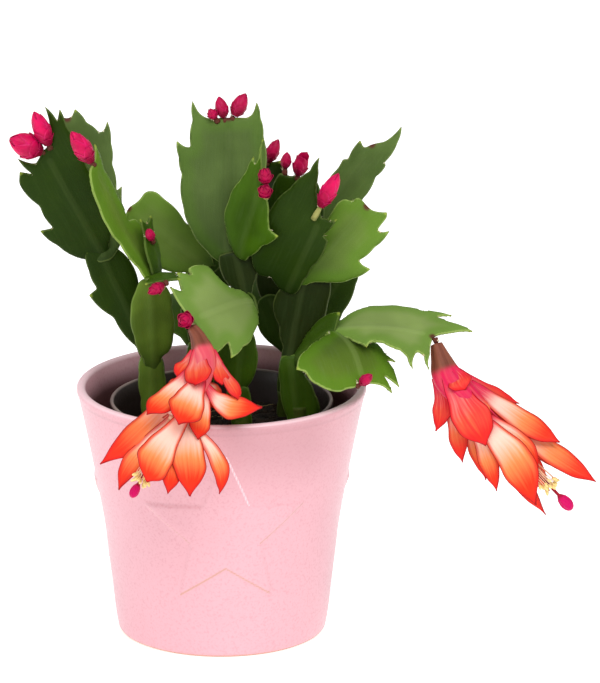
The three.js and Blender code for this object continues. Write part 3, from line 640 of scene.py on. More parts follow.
@dataclass(frozen=True)
class PetalSkin(Finish):
    """Thin petals, pale at the heart and orange red at the border, with a fine dark line round them."""

    name: str = "petal_finish"
    rough: Span = (0.4, 0.56)
    depth: float = 0.0002
    bumps: float = 0.5
    specular: float = 0.15
    glow: float = 0.12
    glow_reach: Place = (1.0, 0.3, 0.15)
    line_across: float = 5.0
    line_along: float = 1.4
    wander: float = 0.25
    edge_power: float = 3.0
    edge_share: float = 0.72
    fraying: float = 5.0
    warm_range: Span = (0.28, 0.58)
    flame_range: Span = (0.46, 0.84)
    outer_range: Span = (0.8, 1.1)
    blush_range: Span = (1.0, 0.55)
    collar_end: Span = (0.1, 0.35)
    heart: Shade = Shade(246, 198, 180)
    warm: Coat = Coat(Shade(242, 140, 78))
    flame: Coat = Coat(Shade(226, 48, 18))
    outer: Coat = Coat(Shade(210, 16, 40), 0.45)
    hem: Coat = Coat(Shade(206, 28, 24), 0.7, 1.8)
    crimson: Coat = Coat(Shade(210, 16, 40))
    rose: Coat = Coat(Shade(206, 22, 84), 0.7)
    line: Coat = Coat(Shade(150, 6, 18), 0.85, 0.36)
    tube: Shade = Shade(100, 50, 36)
    rib: Shade = Shade(136, 80, 62)

    def material(self) -> Material:
        """Builds the petal, coloured by how far out a place is, and the brown green of the tube.

        Returns:
            The material.
        """
        surface = Surface(self.name)
        petal = surface.attribute("petal", "Vector")
        along, across, blush = surface.parts(petal)
        margin, tube, rib = surface.parts("petal_edge")
        lines = surface.streaked(petal, self.line_across, self.line_along)
        wander = surface.times(surface.maths("SUBTRACT", lines, 0.5), self.wander)
        edged = surface.maths("POWER", surface.maths("ABSOLUTE", across), self.edge_power)
        out = surface.maths("MAXIMUM", surface.times(edged, self.edge_share), along)
        out = surface.maths("ADD", out, wander)
        colour = surface.lay(self.heart, self.warm, surface.span(out, *self.warm_range))
        colour = surface.lay(colour, self.flame, surface.span(out, *self.flame_range))
        colour = surface.lay(colour, self.outer, surface.span(out, *self.outer_range))
        frayed = surface.maths("ADD", margin, surface.times(wander, self.fraying))
        colour = surface.lay_border(colour, self.hem, frayed)
        deep = surface.times(blush, surface.span(along, 0.35, 1.0, *self.blush_range))
        deep = surface.times(deep, surface.span(lines, 0.3, 0.7, 0.7, 1.0))
        colour = surface.lay(colour, self.crimson, deep)
        collar = surface.times(deep, surface.span(along, *self.collar_end, 1.0, 0.0))
        colour = surface.lay(colour, self.rose, collar)
        colour = surface.lay_border(colour, self.line, margin)
        colour = surface.blend(tube, colour, surface.blend(rib, self.tube, self.rib))
        return self.complete(surface, colour, lines)


@dataclass(frozen=True)
class HeadedThreads(Finish):
    """Cream filaments with yellow pollen at their heads, or the like in other colours."""

    name: str = "stamen_finish"
    rough: Span = (0.7, 0.7)
    depth: float = 0.0002
    bumps: float = 0.7
    shaft: Shade = Shade(238, 196, 160)
    head: Coat = Coat(Shade(244, 222, 146))

    def material(self) -> Material:
        """Builds the finish.

        Returns:
            The material.
        """
        surface = Surface(self.name)
        grain = self.mottled(surface)[1]
        return self.complete(surface, surface.lay(self.shaft, self.head, surface.attribute("head")), grain)


@dataclass(frozen=True)
class PistilMagenta(HeadedThreads):
    """Dark red style with a hot magenta stigma."""

    name: str = "pistil_finish"
    rough: Span = (0.42, 0.42)
    bumps: float = 0.8
    specular: float = 0.15
    shaft: Shade = Shade(150, 14, 40)
    head: Coat = Coat(Shade(200, 0, 92))


# Mesh helpers


def ease(value: float, low: float, high: float) -> float:
    """Goes smoothly from 0 at low to 1 at high."""
    share = min(1.0, max(0.0, (value - low) / (high - low)))
    return share * share * (3 - 2 * share)


def shares(count: int) -> list[float]:
    """Lists even steps from 0 to 1."""
    return [i / count for i in range(count + 1)]


def arc(start: Vector, middle: Vector, end: Vector, t: float) -> Vector:
    """Gives a point of the arc that leaves start towards middle and comes in to end."""
    return start * (1 - t) ** 2 + middle * 2 * t * (1 - t) + end * t * t


def curve_weights(t: float) -> tuple[float, float, float, float]:
    """Gives the weights of a smooth curve's start and end and of its slopes there."""
    return 2 * t**3 - 3 * t**2 + 1, 3 * t**2 - 2 * t**3, t**3 - 2 * t**2 + t, t**3 - t**2


def curve_through(points: Outline, at: float) -> float:
    """Reads a smooth curve through rising points.

    Args:
        points: The curve's points, the first value of each rising.
        at: The place to read.

    Returns:
        The height of the curve there.
    """
    last = len(points) - 1
    at = min(max(at, points[0][0]), points[last][0])
    i = max(k for k in range(last) if points[k][0] <= at)
    (x0, y0), (x1, y1) = points[i], points[i + 1]
    before, after = points[max(i - 1, 0)], points[min(i + 2, last)]
    lead = (y1 - before[1]) / (x1 - before[0])
    trail = (after[1] - y0) / (after[0] - x0)
    width = x1 - x0
    first, second, leaving, arriving = curve_weights((at - x0) / width)
    return first * y0 + second * y1 + leaving * width * lead + arriving * width * trail


def spin_profile(bm: Mesh, profile: Outline, steps: int) -> list[Vert]:
    """Turns a profile of radius and height, in millimetres, round the upright axis.

    Args:
        bm: The mesh.
        profile: The points, in order.
        steps: The number of faces round the axis.

    Returns:
        The new corners, still in millimetres.
    """
    before = set(bm.verts)
    verts = [bm.verts.new((radius, 0, height)) for radius, height in profile]
    edges = [bm.edges.new(pair) for pair in zip(verts, verts[1:])]
    bmesh.ops.spin(
        bm, geom=verts + edges, cent=(0, 0, 0), axis=(0, 0, 1), dvec=(0, 0, 0),
        angle=TAU, steps=steps, use_merge=True, use_duplicate=False,
    )
    fresh = [vert for vert in bm.verts if vert not in before]
    bmesh.ops.remove_doubles(bm, verts=fresh, dist=1e-5)
    return [vert for vert in bm.verts if vert not in before]


def standing(spot: Vector, direction: Vector) -> Matrix:
    """Gives the move that stands something upright at a spot, with its top in a direction."""
    return Matrix.Translation(spot) @ direction.to_track_quat("Z", "Y").to_matrix().to_4x4()


def scattered(rng: random.Random) -> Vector:
    """Draws a vector with each part from -1 to 1."""
    return Vector((rng.uniform(-1, 1), rng.uniform(-1, 1), rng.uniform(-1, 1)))


def add_lump(bm: Mesh, place: Matrix, sizes: Place, fineness: int = 1) -> list[Vert]:
    """Adds a rounded lump with its three half sizes in millimetres, and gives its corners."""
    matrix = place @ Matrix.Diagonal((*sizes, 1))
    return bmesh.ops.create_icosphere(bm, subdivisions=fineness, radius=1.0, matrix=matrix)["verts"]


def faces_of(verts: Iterable[Vert]) -> list[Face]:
    """Lists the faces that some corners belong to, each once."""
    return list({face: None for vert in verts for face in vert.link_faces})


def strip(bm: Mesh, columns: int, rows: int) -> list[Vert]:
    """Adds a flat grid and gives its corners, whose x goes across from -1 to 1 and y along from 0 to 1.

    Args:
        bm: The mesh.
        columns: The cells across.
        rows: The cells along.

    Returns:
        The grid's corners.
    """
    verts = bmesh.ops.create_grid(bm, x_segments=columns, y_segments=rows, size=1.0)["verts"]
    for vert in verts:
        vert.co.y = (vert.co.y + 1) / 2
    return verts


def thread(bm: Mesh, route: Sequence[Vector], radii: Sequence[float], sides: int) -> list[Vert]:
    """Draws a closed thread along a route.

    Args:
        bm: The mesh.
        route: The points that it passes through.
        radii: Its radius at each point.
        sides: The number of faces round it.

    Returns:
        The thread's corners.
    """
    ring = bmesh.ops.create_circle(bm, cap_ends=True, radius=1.0, segments=sides)["verts"]
    made = list(ring)
    face = ring[0].link_faces[0]
    flat = [vert.co.copy() for vert in ring]
    for i, (point, radius) in enumerate(zip(route, radii)):
        ahead = route[min(i + 1, len(route) - 1)] - route[max(i - 1, 0)]
        turn = standing(point, ahead.normalized())
        if i > 0:
            grown = bmesh.ops.extrude_face_region(bm, geom=[face])["geom"]
            face = next(item for item in grown if isinstance(item, Face))
            ring = list(face.verts)
            made.extend(ring)
        for vert, corner in zip(ring, flat):
            vert.co = turn @ (corner * radius)
    return made


@dataclass
class Piece:
    """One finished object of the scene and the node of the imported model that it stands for."""

    name: str
    node: str
    slot: str
    materials: Sequence[Material]

    def finish(self, bm: Mesh, turn_out: bool = True) -> None:
        """Makes the object from its mesh and sets it on the frame.

        Args:
            bm: The mesh, in millimetres. It is freed.
            turn_out: Whether all its faces still have to be turned outwards.
        """
        bmesh.ops.scale(bm, vec=(MM, MM, MM), verts=bm.verts)
        if turn_out:
            bmesh.ops.recalc_face_normals(bm, faces=bm.faces)
        mesh = bpy.data.meshes.new(self.name)
        for polygon in bm.faces:
            polygon.smooth = True
        bm.to_mesh(mesh)
        bm.free()
        for material in self.materials:
            mesh.materials.append(material)
        made = bpy.data.objects.new(self.name, mesh)
        bpy.context.scene.collection.objects.link(made)
        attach(made, BODY)
        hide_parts(self.node)
        triangles = sum(len(polygon.vertices) - 2 for polygon in mesh.polygons)
        log.info("%s: %d triangles", self.name, triangles)


# The pots and the soil


@dataclass
class CeramicPot:
    """The glazed pot, turned on its axis, with three stars raised on its wall.

    The names in line and shine are for the brownish line below a star's edges and the painted highlight on
    their right, those in lit for where painted light lifts the painted shade on the back of the inner wall,
    and the three after them for where the painted shadow lies on the upper front wall. A pair named rise,
    reach or facing is where a change starts and where it is complete.
    """

    outline: Outline = (
        (38.8, 0), (40.3, 0.9), (41.3, 7), (42.6, 19), (44.1, 31), (45.5, 43), (47.5, 55), (49.7, 67),
        (52.3, 80), (55.3, 94), (56, 96.2), (55.2, 97.6), (53.8, 98),
    )
    wall: float = 3.6
    floor: float = 5
    wall_low: float = 2
    wall_top: int = 94
    steps: int = 420
    row: float = 0.75
    star_reach: float = 33
    star_waist: float = 0.44
    star_relief: float = 0.7
    star_middle: float = 52
    star_shift: float = 2
    star_count: int = 3
    star_slope: float = 1.6
    star_spare: float = 4
    line_inset: float = 0.3
    line_sideways: float = 0.42
    line_facing: Span = (0.5, 0.8)
    line_high: float = 0.14
    line_rise: Span = (-14, 4)
    shine_way: Span = (0.92, 0.4)
    shine_facing: Span = (0.75, 0.9)
    shine_low: float = 0.4
    shine_rise: Span = (4, 8)
    foot_ring: float = 33
    clay_rise: Span = (0.5, 1.2)
    lip_rise: Span = (96.6, 97.6)
    mouth: float = 96
    inner_shade: float = 0.97
    inner_shade_depth: float = 9
    lit_middle: float = -20
    lit_width: float = 12
    lit_share: float = 0.55
    shadow_middle: float = 20
    shadow_reach: Span = (12, 32)
    shadow_rise: Span = (60, 90)
    wander: float = 0.12

    def __post_init__(self) -> None:
        """Works out a star's corners on the flat, where the front star is and which edges shine."""
        self.corners = []
        for i in range(10):
            reach = self.star_reach * (self.star_waist if i % 2 else 1)
            turn = math.pi / 2 + i * math.pi / 5
            self.corners.append(Vector((reach * math.cos(turn), reach * math.sin(turn))))
        self.girth = self.radius_at(self.star_middle)
        self.front = -math.pi / 2 + self.star_shift / self.girth
        self.shining = Vector(self.shine_way).normalized()

    def radius_at(self, height: float) -> float:
        """Gives the outer radius at a height."""
        return curve_through([(z, r) for r, z in self.outline[1:11]], height)

    def profile(self) -> list[tuple[float, float]]:
        """Lists the whole section, from the middle of the foot over the rim to the middle of the floor.

        Returns:
            Its points, as radius and height.
        """
        foot = [
            (0, 0.8), (34, 0.8), (35.2, 0.5), (36, 0.1), (38.2, 0), (39.2, 0.15), (39.9, 0.5), (40.3, 1.1),
        ]
        rise = self.wall_top - self.wall_low
        heights = [self.wall_low + rise * share for share in shares(round(rise / self.row))]
        outside = [(self.radius_at(z), z) for z in heights]
        rim = [
            (55.65, 95.2), (55.95, 96.1), (55.95, 96.9), (55.6, 97.5), (55.0, 97.9), (54.2, 98),
            (53.4, 97.85), (52.75, 97.4), (52.4, 96.6), (52.1, 95.4),
        ]
        inside = [(self.radius_at(z) - self.wall, z) for z in range(self.wall_top, 9, -3)]
        floor = [(37.2, 8), (36.4, 6.4), (34.6, 5.3), (32, self.floor), (16, self.floor), (0, self.floor)]
        return [*foot, *outside, *rim, *inside, *floor]

    def star_distance(self, point: Vector) -> tuple[float, Vector]:
        """Measures a point against the star's edge.

        Args:
            point: The place on the flat.

        Returns:
            The distance to the nearest edge, below 0 inside, and the way that edge faces.
        """
        nearest, facing, inside = math.inf, Vector((0, 1)), False
        for here, there in zip(self.corners, self.corners[1:] + self.corners[:1]):
            step = there - here
            share = min(1.0, max(0.0, (point - here).dot(step) / step.length_squared))
            gap = (here + step * share - point).length
            if gap < nearest:
                nearest = gap
                facing = Vector((step.y, -step.x)).normalized()
            if (here.y > point.y) != (there.y > point.y):
                if point.x < here.x + (point.y - here.y) / step.y * step.x:
                    inside = not inside
        return (-nearest if inside else nearest), facing

    def star_marks(self, turn: float, height: float) -> Place:
        """Measures a place on the wall against the star next to it.

        Args:
            turn: The place's heading round the axis.
            height: Its height.

        Returns:
            How far the star lifts it, and its distances to the brownish line below the star's edges and to
            the painted highlight on the right of them.
        """
        part = TAU / self.star_count
        away = (turn - self.front + part / 2) % part - part / 2
        spot = Vector((away * self.girth, height - self.star_middle))
        if max(abs(spot.x), abs(spot.y)) >= self.star_reach + self.star_spare:
            return 0.0, FAR, FAR
        gap, facing = self.star_distance(spot)
        relief = self.star_relief * (1 - ease(gap, -self.star_slope / 2, self.star_slope / 2))
        line = abs(gap + self.line_inset) + ease(spot.y, *self.line_rise) * self.line_high
        line += (1 - ease(-facing.y, *self.line_facing)) * self.line_sideways
        shine = abs(gap) + 1 - ease(facing.dot(self.shining), *self.shine_facing)
        return relief, line, shine + (1 - ease(spot.y, *self.shine_rise)) * self.shine_low

    def darkness(self, x: float, y: float, height: float) -> float:
        """Gives how dark the painted shade makes a place of the inner wall, deeper below the mouth. On the
        back wall some painted light falls in.

        Args:
            x: Its place to the right.
            y: Its place backwards.
            height: Its height.

        Returns:
            The darkness, from 0 to 1.
        """
        dark = ease(self.mouth - height, 0, self.inner_shade_depth) * self.inner_shade if height > 3 else 0.0
        lit = self.lit_share * math.exp(-(((x - self.lit_middle) / self.lit_width) ** 2))
        return dark * (1 - lit) if y > 0 else dark

    def build(self, finish: Material) -> None:
        """Turns the pot, raises the stars and dresses it.

        Args:
            finish: Its material.
        """
        bm = bmesh.new()
        glaze = bm.verts.layers.float_vector.new("glaze")
        lip = bm.verts.layers.float_vector.new("lip")
        for vert in spin_profile(bm, self.profile(), self.steps):
            x, y, height = vert.co
            radius, turn = math.hypot(x, y), math.atan2(y, x)
            outer = height < self.wall_top and radius > self.radius_at(max(height, 1)) - 1.5
            relief, line, shine = self.star_marks(turn, height) if outer else (0.0, FAR, FAR)
            sway = noise.noise(vert.co / 26) * self.wander if outer else 0.0
            if radius > 1:
                vert.co.x += math.cos(turn) * (relief + sway)
                vert.co.y += math.sin(turn) * (relief + sway)
            clay = 1 - ease(height, *self.clay_rise) if radius > self.foot_ring else 0.0
            # Painted shade on the inner wall, with painted light on its back.
            inner_shade = 0.0 if outer else self.darkness(vert.co.x, vert.co.y, height)
            vert[glaze] = (line, clay, inner_shade)
            # Painted shadow on the upper front wall, right of the middle.
            in_front = vert.co.y < 0 and radius > self.radius_at(min(max(height, 1), self.wall_top)) - 0.5
            painted_shadow = 1 - ease(abs(vert.co.x - self.shadow_middle), *self.shadow_reach)
            painted_shadow *= ease(height, *self.shadow_rise) * in_front
            # The painted highlight on the rim top, the distance to that on the stars, and the painted
            # shadow.
            vert[lip] = (ease(height, *self.lip_rise), shine, painted_shadow)
        Piece("glazed_pot", "ceramic_pot", "pink_glaze", [finish]).finish(bm)


@dataclass
class NurseryPot:
    """The thin plastic pot that stands inside, with a rolled rim."""

    wall: float = 0.8
    floor_height: float = 5.3
    floor_radius: float = 31
    neck_radius: float = 41.2
    rim_radius: float = 43.2
    top: float = 92
    unevenness: float = 0.002
    steps: int = 160

    def build(self, finish: Material) -> None:
        """Turns the pot and dresses it.

        Args:
            finish: Its material.
        """
        neck, rim, top, low = self.neck_radius, self.rim_radius, self.top, self.floor_height
        foot = self.floor_radius
        outside = [(foot + 1 + (neck - foot - 1) * t, low + 1.5 + (top - 6.5 - low) * t) for t in shares(8)]
        roll = [
            (neck + 0.7, top - 4.9), (rim - 0.35, top - 4.6), (rim - 0.05, top - 4), (rim, top - 2.4),
            (rim, top - 0.9), (rim - 0.25, top - 0.25), (rim - 0.8, top), (rim - 1.35, top - 0.2),
            (rim - 1.65, top - 0.8),
        ]
        inside = [(radius - self.wall, height) for radius, height in reversed(outside)]
        floor = [(foot - self.wall, low + self.wall), (0, low + self.wall)]
        profile = [(0, low), (foot, low), *outside, *roll, *inside, *floor]
        bm = bmesh.new()
        painted_rim_highlight = bm.verts.layers.float.new("rim")
        for vert in spin_profile(bm, profile, self.steps):
            # Where the painted highlight on the rim goes.
            vert[painted_rim_highlight] = ease(vert.co.z, top - 0.9, top - 0.2)
            swell = self.unevenness * noise.noise(vert.co / 30)
            vert.co.x *= 1 + swell
            vert.co.y *= 1 - swell
        Piece("nursery_pot_shell", "nursery_pot", "nursery_plastic", [finish]).finish(bm)


@dataclass
class SoilBed:
    """Crumbly peat that fills the nursery pot."""

    bottom: float = 6.4
    low_radius: float = 29.7
    top: float = 80
    top_radius: float = 38.9
    steps: int = 150
    crumb_count: int = 420
    crumb_low: float = 0.5
    crumb_high: float = 1.7
    crumb_jitter: float = 0.18
    root_count: int = 26
    root_joints: int = 6

    def surface(self, x: float, y: float) -> float:
        """Gives the height of the soil at a place.

        Args:
            x: The place to the right.
            y: The place backwards.

        Returns:
            The height.
        """
        spot = Vector((x, y, 3.0))
        swell = 0.9 * noise.noise(spot / 14) + 0.7 * noise.noise(spot / 3.5)
        return self.top + swell + 0.35 * noise.noise(spot / 1.3)

    def add_roots(self, bm: Mesh, pale: object, rng: random.Random) -> None:
        """Lays a few thin pale roots on the soil.

        Args:
            bm: The mesh.
            pale: The layer that marks them.
            rng: The random draws.
        """
        for _ in range(self.root_count):
            turn, reach = rng.uniform(0, TAU), rng.uniform(10, 34)
            spot = Vector((reach * math.cos(turn), reach * math.sin(turn), 0))
            heading, route = rng.uniform(0, TAU), []
            for _ in range(self.root_joints):
                if spot.xy.length > self.top_radius - 2:
                    break
                spot.z = self.surface(spot.x, spot.y) + 0.35
                route.append(spot.copy())
                heading += rng.uniform(-0.7, 0.7)
                spot += Vector((math.cos(heading), math.sin(heading), 0)) * rng.uniform(1.2, 2.4)
            if len(route) < 3:
                continue
            radii = [0.24 - 0.12 * k / len(route) for k in range(len(route))]
            for vert in thread(bm, route, radii, 6):
                vert[pale] = 1.0

    def build(self, finish: Material) -> None:
        """Turns the bed, roughens its top and scatters crumbs on it.

        Args:
            finish: Its material.
        """
        rings = [self.top_radius * (1 - i / 46) for i in range(1, 46)]
        side = [(self.low_radius - 1.2, self.bottom), (self.low_radius, self.bottom + 1.5)]
        bed = [(self.top_radius, self.top - 1.2), *[(r, self.top) for r in rings], (0, self.top)]
        profile = [(0, self.bottom), *side, *bed]
        bm = bmesh.new()
        pale = bm.verts.layers.float.new("root")
        for vert in spin_profile(bm, profile, self.steps):
            if vert.co.z > self.top - 0.1:
                fade = ease(self.top_radius - vert.co.xy.length, 0, 3)
                rise = self.surface(vert.co.x, vert.co.y) - self.top
                vert.co.z = self.top - 0.8 * (1 - fade) + rise * fade
        rng = random.Random(7)
        for _ in range(self.crumb_count):
            turn, reach = rng.uniform(0, TAU), (self.top_radius - 1.4) * math.sqrt(rng.random())
            x, y = reach * math.cos(turn), reach * math.sin(turn)
            size = self.crumb_low + (self.crumb_high - self.crumb_low) * rng.random() ** 2
            spot = Matrix.Translation((x, y, self.surface(x, y) + size * 0.1))
            spin = Matrix.Rotation(rng.uniform(0, TAU), 4, Vector((rng.random(), rng.random(), 1)))
            sizes = (size, size * rng.uniform(0.5, 0.9), size * rng.uniform(0.4, 0.7))
            for vert in add_lump(bm, spot @ spin, sizes):
                vert.co += scattered(rng) * size * self.crumb_jitter
        self.add_roots(bm, pale, rng)
        Piece("soil_bed", "soil", "potting_soil", [finish]).finish(bm)


# The plant


class Green(Enum):
    """The greens of the segments, from the shaded ones, which are painted shade, to the pale ones of new
    growth, which are partly painted light.
    """

    DARK = Shade(28, 38, 4)
    DEEP = Shade(37, 58, 3)
    LEAF = Shade(58, 86, 12)
    BRIGHT = Shade(54, 84, 4)
    MOSS = Shade(91, 116, 36)
    FRESH = Shade(104, 130, 54)
    PALE = Shade(125, 146, 79)
    # Its grey is a painted sheen.
    SATIN = Shade(84, 104, 52)
    WOODY = Shade(66, 80, 26)
    PITH = Shade(164, 162, 96)
    JOINT = Shade(96, 48, 40)


class FleshPaint:
    """Writes onto a stem's corners what its material reads there."""

    def __init__(self, bm: Mesh) -> None:
        """Adds the attributes to a mesh.

        Args:
            bm: The stem's mesh.
        """
        self.tint = bm.verts.layers.float_color.new("tint")
        self.surface = bm.verts.layers.float_vector.new("surface")
        self.edges = bm.verts.layers.float_vector.new("edges")
        self.marks = bm.verts.layers.float_vector.new("marks")

    def mark(
        self, vert: Vert, green: Shade, surface: Place,
        edges: Place = (FAR, FAR, 0.0), marks: Place = (FAR, FAR, 0.0),
    ) -> None:
        """Paints one corner.

        Args:
            vert: The corner.
            green: Its colour.
            surface: Its place along and across the segment, in millimetres, and the segment's own number.
            edges: Its distance to the border and to a tooth, and how pale the border is, from 0 to 1.
            marks: Its distance to a vein and to a scar, and how much painted shade lies on it near the
                segment's base and along its midrib, from 0 to 1.
        """
        vert[self.tint] = green.linear()
        vert[self.surface] = surface
        vert[self.edges] = edges
        vert[self.marks] = marks


def near(points: Sequence[Vector]) -> KDTree:
    """Makes a search tree of flat points.

    Args:
        points: The points.

    Returns:
        The tree.
    """
    tree = KDTree(max(len(points), 1))
    for i, point in enumerate(points or [Vector((1e3, 1e3))]):
        tree.insert((point.x, point.y, 0), i)
    tree.balance()
    return tree


def dotted(start: Vector, end: Vector, step: float = 0.25) -> list[Vector]:
    """Lists points on a line, a step apart."""
    count = max(1, math.ceil((end - start).length / step))
    return [start.lerp(end, i / count) for i in range(count + 1)]


@dataclass
class Segment:
    """One flat toothed segment, which runs from base to tip with its face turned the way of face.

    left and right list the teeth and notches on each side, seen on the face with the tip up, as distances
    along and out in millimetres. Without right, both sides are alike. bow and cup bend the segment along and
    across, rib and edge are half its thickness at the midrib and the border, neck is half its width at the
    base and sink how deep it stands in what bears it. pale_edge is how pale its border is, whose rim is
    partly painted highlight, and how much painted sheen the segment takes. fade is how far the painted
    shade at its base reaches and groove how much painted shade lies along its midrib.
    """

    base: Place
    tip: Place
    face: Place
    left: Outline
    right: Outline = ()
    green: Green = Green.DEEP
    bow: float = 0
    cup: float = 0
    rib: float = 1.3
    edge: float = 0.45
    neck: float = 2.2
    scarred: bool = False
    sink: float = 2.5
    cell: float = 1.05
    cell_shift: float = 0.013
    pale_edge: float = 0.15
    fade: float = 7
    groove: float = 0
    groove_width: float = 2.4
    long_span: float = 6
    bulge: float = 0.07
    hollow: float = -0.05
    tooth_angle: float = math.radians(100)
    tooth_cut: Span = (0.4, 0.4)
    notch_angle: float = math.radians(140)
    notch_cut: Span = (1.5, 0.46)
    other_cut: float = 0.47
    plump: float = 0.55
    plump_reach: float = 1.4
    ridge: float = 0.45
    ridge_width: float = 1.7
    round_edge: float = 0.3
    rim_share: float = 0.85
    vein_reach: float = 0.9
    ripple: float = 0.35

    def __post_init__(self) -> None:
        """Works out the segment's own directions."""
        self.origin = Vector(self.base)
        self.along = Vector(self.tip) - self.origin
        self.length = self.along.length
        self.along.normalize()
        out = Vector(self.face)
        self.out = (out - self.along * out.dot(self.along)).normalized()
        self.side = self.along.cross(self.out)
        self.number = (self.origin.x * 0.37 + self.origin.z * 0.11) % 7

    def arched(self, points: Sequence[Vector], outwards: int) -> list[Vector]:
        """Arches each long span outwards, or inwards where it falls back from a tooth.

        Args:
            points: The corners of one side.
            outwards: Whether that is the right (1) or left (-1).

        Returns:
            The corners with those of the arches.
        """
        made = [points[0]]
        for before, point in zip(points, points[1:]):
            step = point - before
            if step.length > self.long_span:
                swell = Vector((-step.y, step.x)) * outwards
                bulge = self.hollow if step.x < 0 else self.bulge
                for share, height in ((0.25, 0.75), (0.5, 1), (0.75, 0.75)):
                    made.append(before + step * share + swell * bulge * height)
            made.append(point)
        return made

    def corners(self) -> list[Vector]:
        """Lists the outline's corners, anticlockwise from the base.

        Returns:
            The corners.
        """
        left = [Vector((-self.sink, -self.neck)), *[Vector((u, -v)) for u, v in self.left]]
        right = [Vector((-self.sink, self.neck)), *[Vector((u, v)) for u, v in self.right or self.left]]
        return [*self.arched(left, -1), Vector((self.length, 0)), *reversed(self.arched(right, 1))]

    def rounded(self, corners: Sequence[Vector]) -> tuple[list[Vector], list[Vector], list[Vector]]:
        """Rounds the outline, keeps the teeth pointed and finds what to mark.

        Args:
            corners: The outline's corners.

        Returns:
            The rounded outline, the tips of the teeth, and the notches.
        """
        made, teeth, notches = [], [], []
        for i, corner in enumerate(corners):
            back, ahead = corners[i - 1] - corner, corners[(i + 1) % len(corners)] - corner
            room = min(back.length, ahead.length)
            angle = back.angle(ahead)
            convex = back.x * ahead.y - back.y * ahead.x < 0
            if convex and angle < self.tooth_angle and corner.x > 0:
                teeth.append(corner)
                cut = min(self.tooth_cut[0], self.tooth_cut[1] * room)
            elif not convex and angle < self.notch_angle:
                notches.append(corner)
                cut = min(self.notch_cut[0], self.notch_cut[1] * room)
            else:
                cut = self.other_cut * room
            start, end = corner + back.normalized() * cut, corner + ahead.normalized() * cut
            made += [arc(start, corner, end, t) for t in shares(2 if cut < 0.6 else 4)]
        return made, teeth, notches

    def place(self, u: float, v: float, offset: float) -> Vector:
        """Gives the point, in millimetres, of a place on the segment at an offset from its middle sheet.

        Args:
            u: The distance along.
            v: The distance out.
            offset: The distance from the middle sheet.

        Returns:
            The point.
        """
        lift = self.bow * 4 * u * (1 - u / self.length) / self.length + self.cup * (v / 10) ** 2
        lift += self.ripple * noise.noise(Vector((u / 13, v / 9, self.number))) * ease(u, 0, 9)
        tilt = self.bow * 4 * (1 - 2 * u / self.length) / self.length
        normal = (self.out - self.along * tilt).normalized()
        return self.origin + self.along * u + self.side * v + self.out * lift + normal * offset

    def half_thickness(self, u: float, v: float, margin: float) -> float:
        """Gives half the flesh's thickness, fuller over the midrib and thin at the border.

        Args:
            u: The distance along.
            v: The distance out.
            margin: The distance to the border.

        Returns:
            Half the thickness.
        """
        plump = self.plump * (1 - math.exp(-margin / self.plump_reach))
        ridge = self.ridge * math.exp(-((v / self.ridge_width) ** 2))
        ridge *= 1 - 0.7 * ease(u, 0.75 * self.length, self.length)
        return self.edge + (self.rib - self.edge) * min(1.0, plump + ridge * ease(margin, 0, 1.5))

    def cut_sheet(self, bm: Mesh, outline: Sequence[Vector]) -> list[Face]:
        """Fills the outline with a flat sheet, cut both ways into cells, and gives its faces.

        Args:
            bm: The mesh.
            outline: The rounded outline.

        Returns:
            The sheet's faces.
        """
        flat = [bm.verts.new((point.x, point.y, 0)) for point in outline]
        bmesh.ops.remove_doubles(bm, verts=flat, dist=0.02)
        sheet = bm.faces.new([vert for vert in flat if vert.is_valid])
        sheet.normal_update()
        geom = [sheet, *sheet.edges, *sheet.verts]
        low = Vector((min(p.x for p in outline), min(p.y for p in outline)))
        high = Vector((max(p.x for p in outline), max(p.y for p in outline)))
        for axis in (0, 1):
            count = math.ceil((high[axis] - low[axis]) / self.cell)
            for i in range(1, count):
                spot, cut = Vector((0, 0, 0)), Vector((0, 0, 0))
                spot[axis] = low[axis] + (high[axis] - low[axis]) * (i + self.cell_shift) / count
                cut[axis] = 1
                geom = bmesh.ops.bisect_plane(bm, geom=geom, dist=1e-4, plane_co=spot, plane_no=cut)["geom"]
        return [item for item in geom if isinstance(item, Face)]

    @staticmethod
    def rim_ways(faces: Sequence[Face]) -> dict[Vert, Vector]:
        """Finds the way inwards at each corner of a sheet's rim.

        Args:
            faces: The sheet's faces.

        Returns:
            The way at each corner of the rim.
        """
        rim = {}
        for loop in (loop for face in faces for loop in face.loops):
            if len(loop.edge.link_faces) == 1:
                step = loop.link_loop_next.vert.co - loop.vert.co
                inward = Vector((-step.y, step.x)).normalized()
                for vert in (loop.vert, loop.link_loop_next.vert):
                    rim[vert] = rim.get(vert, Vector((0, 0))) + inward
        return rim

    @staticmethod
    def thicken(bm: Mesh, faces: Sequence[Face], by_place: dict, rim: dict) -> tuple[dict, dict]:
        """Doubles a sheet and halves the wall between its two faces.

        Args:
            bm: The stem's mesh.
            faces: The sheet.
            by_place: The sheet's corners by their place on it.
            rim: The way inwards at each corner of its rim.

        Returns:
            The corners of the other face and those halfway up the wall, with the place of each.
        """
        grown = bmesh.ops.extrude_face_region(bm, geom=faces)["geom"]
        fresh = [item for item in grown if isinstance(item, Vert)]
        upper = {vert: (vert.co.x, vert.co.y) for vert in fresh}
        uprights = []
        for vert, spot in upper.items():
            twin = by_place[spot]
            if twin in rim:
                uprights.append((next(e for e in vert.link_edges if e.other_vert(vert) is twin), spot))
        middle = {}
        for edge, spot in uprights:
            middle[bmesh.utils.edge_split(edge, edge.verts[0], 0.5)[1]] = spot
        for face in {face for vert in middle for face in vert.link_faces}:
            pair = [vert for vert in face.verts if vert in middle]
            if len(pair) == 2:
                bmesh.utils.face_split(face, pair[0], pair[1])
        return upper, middle

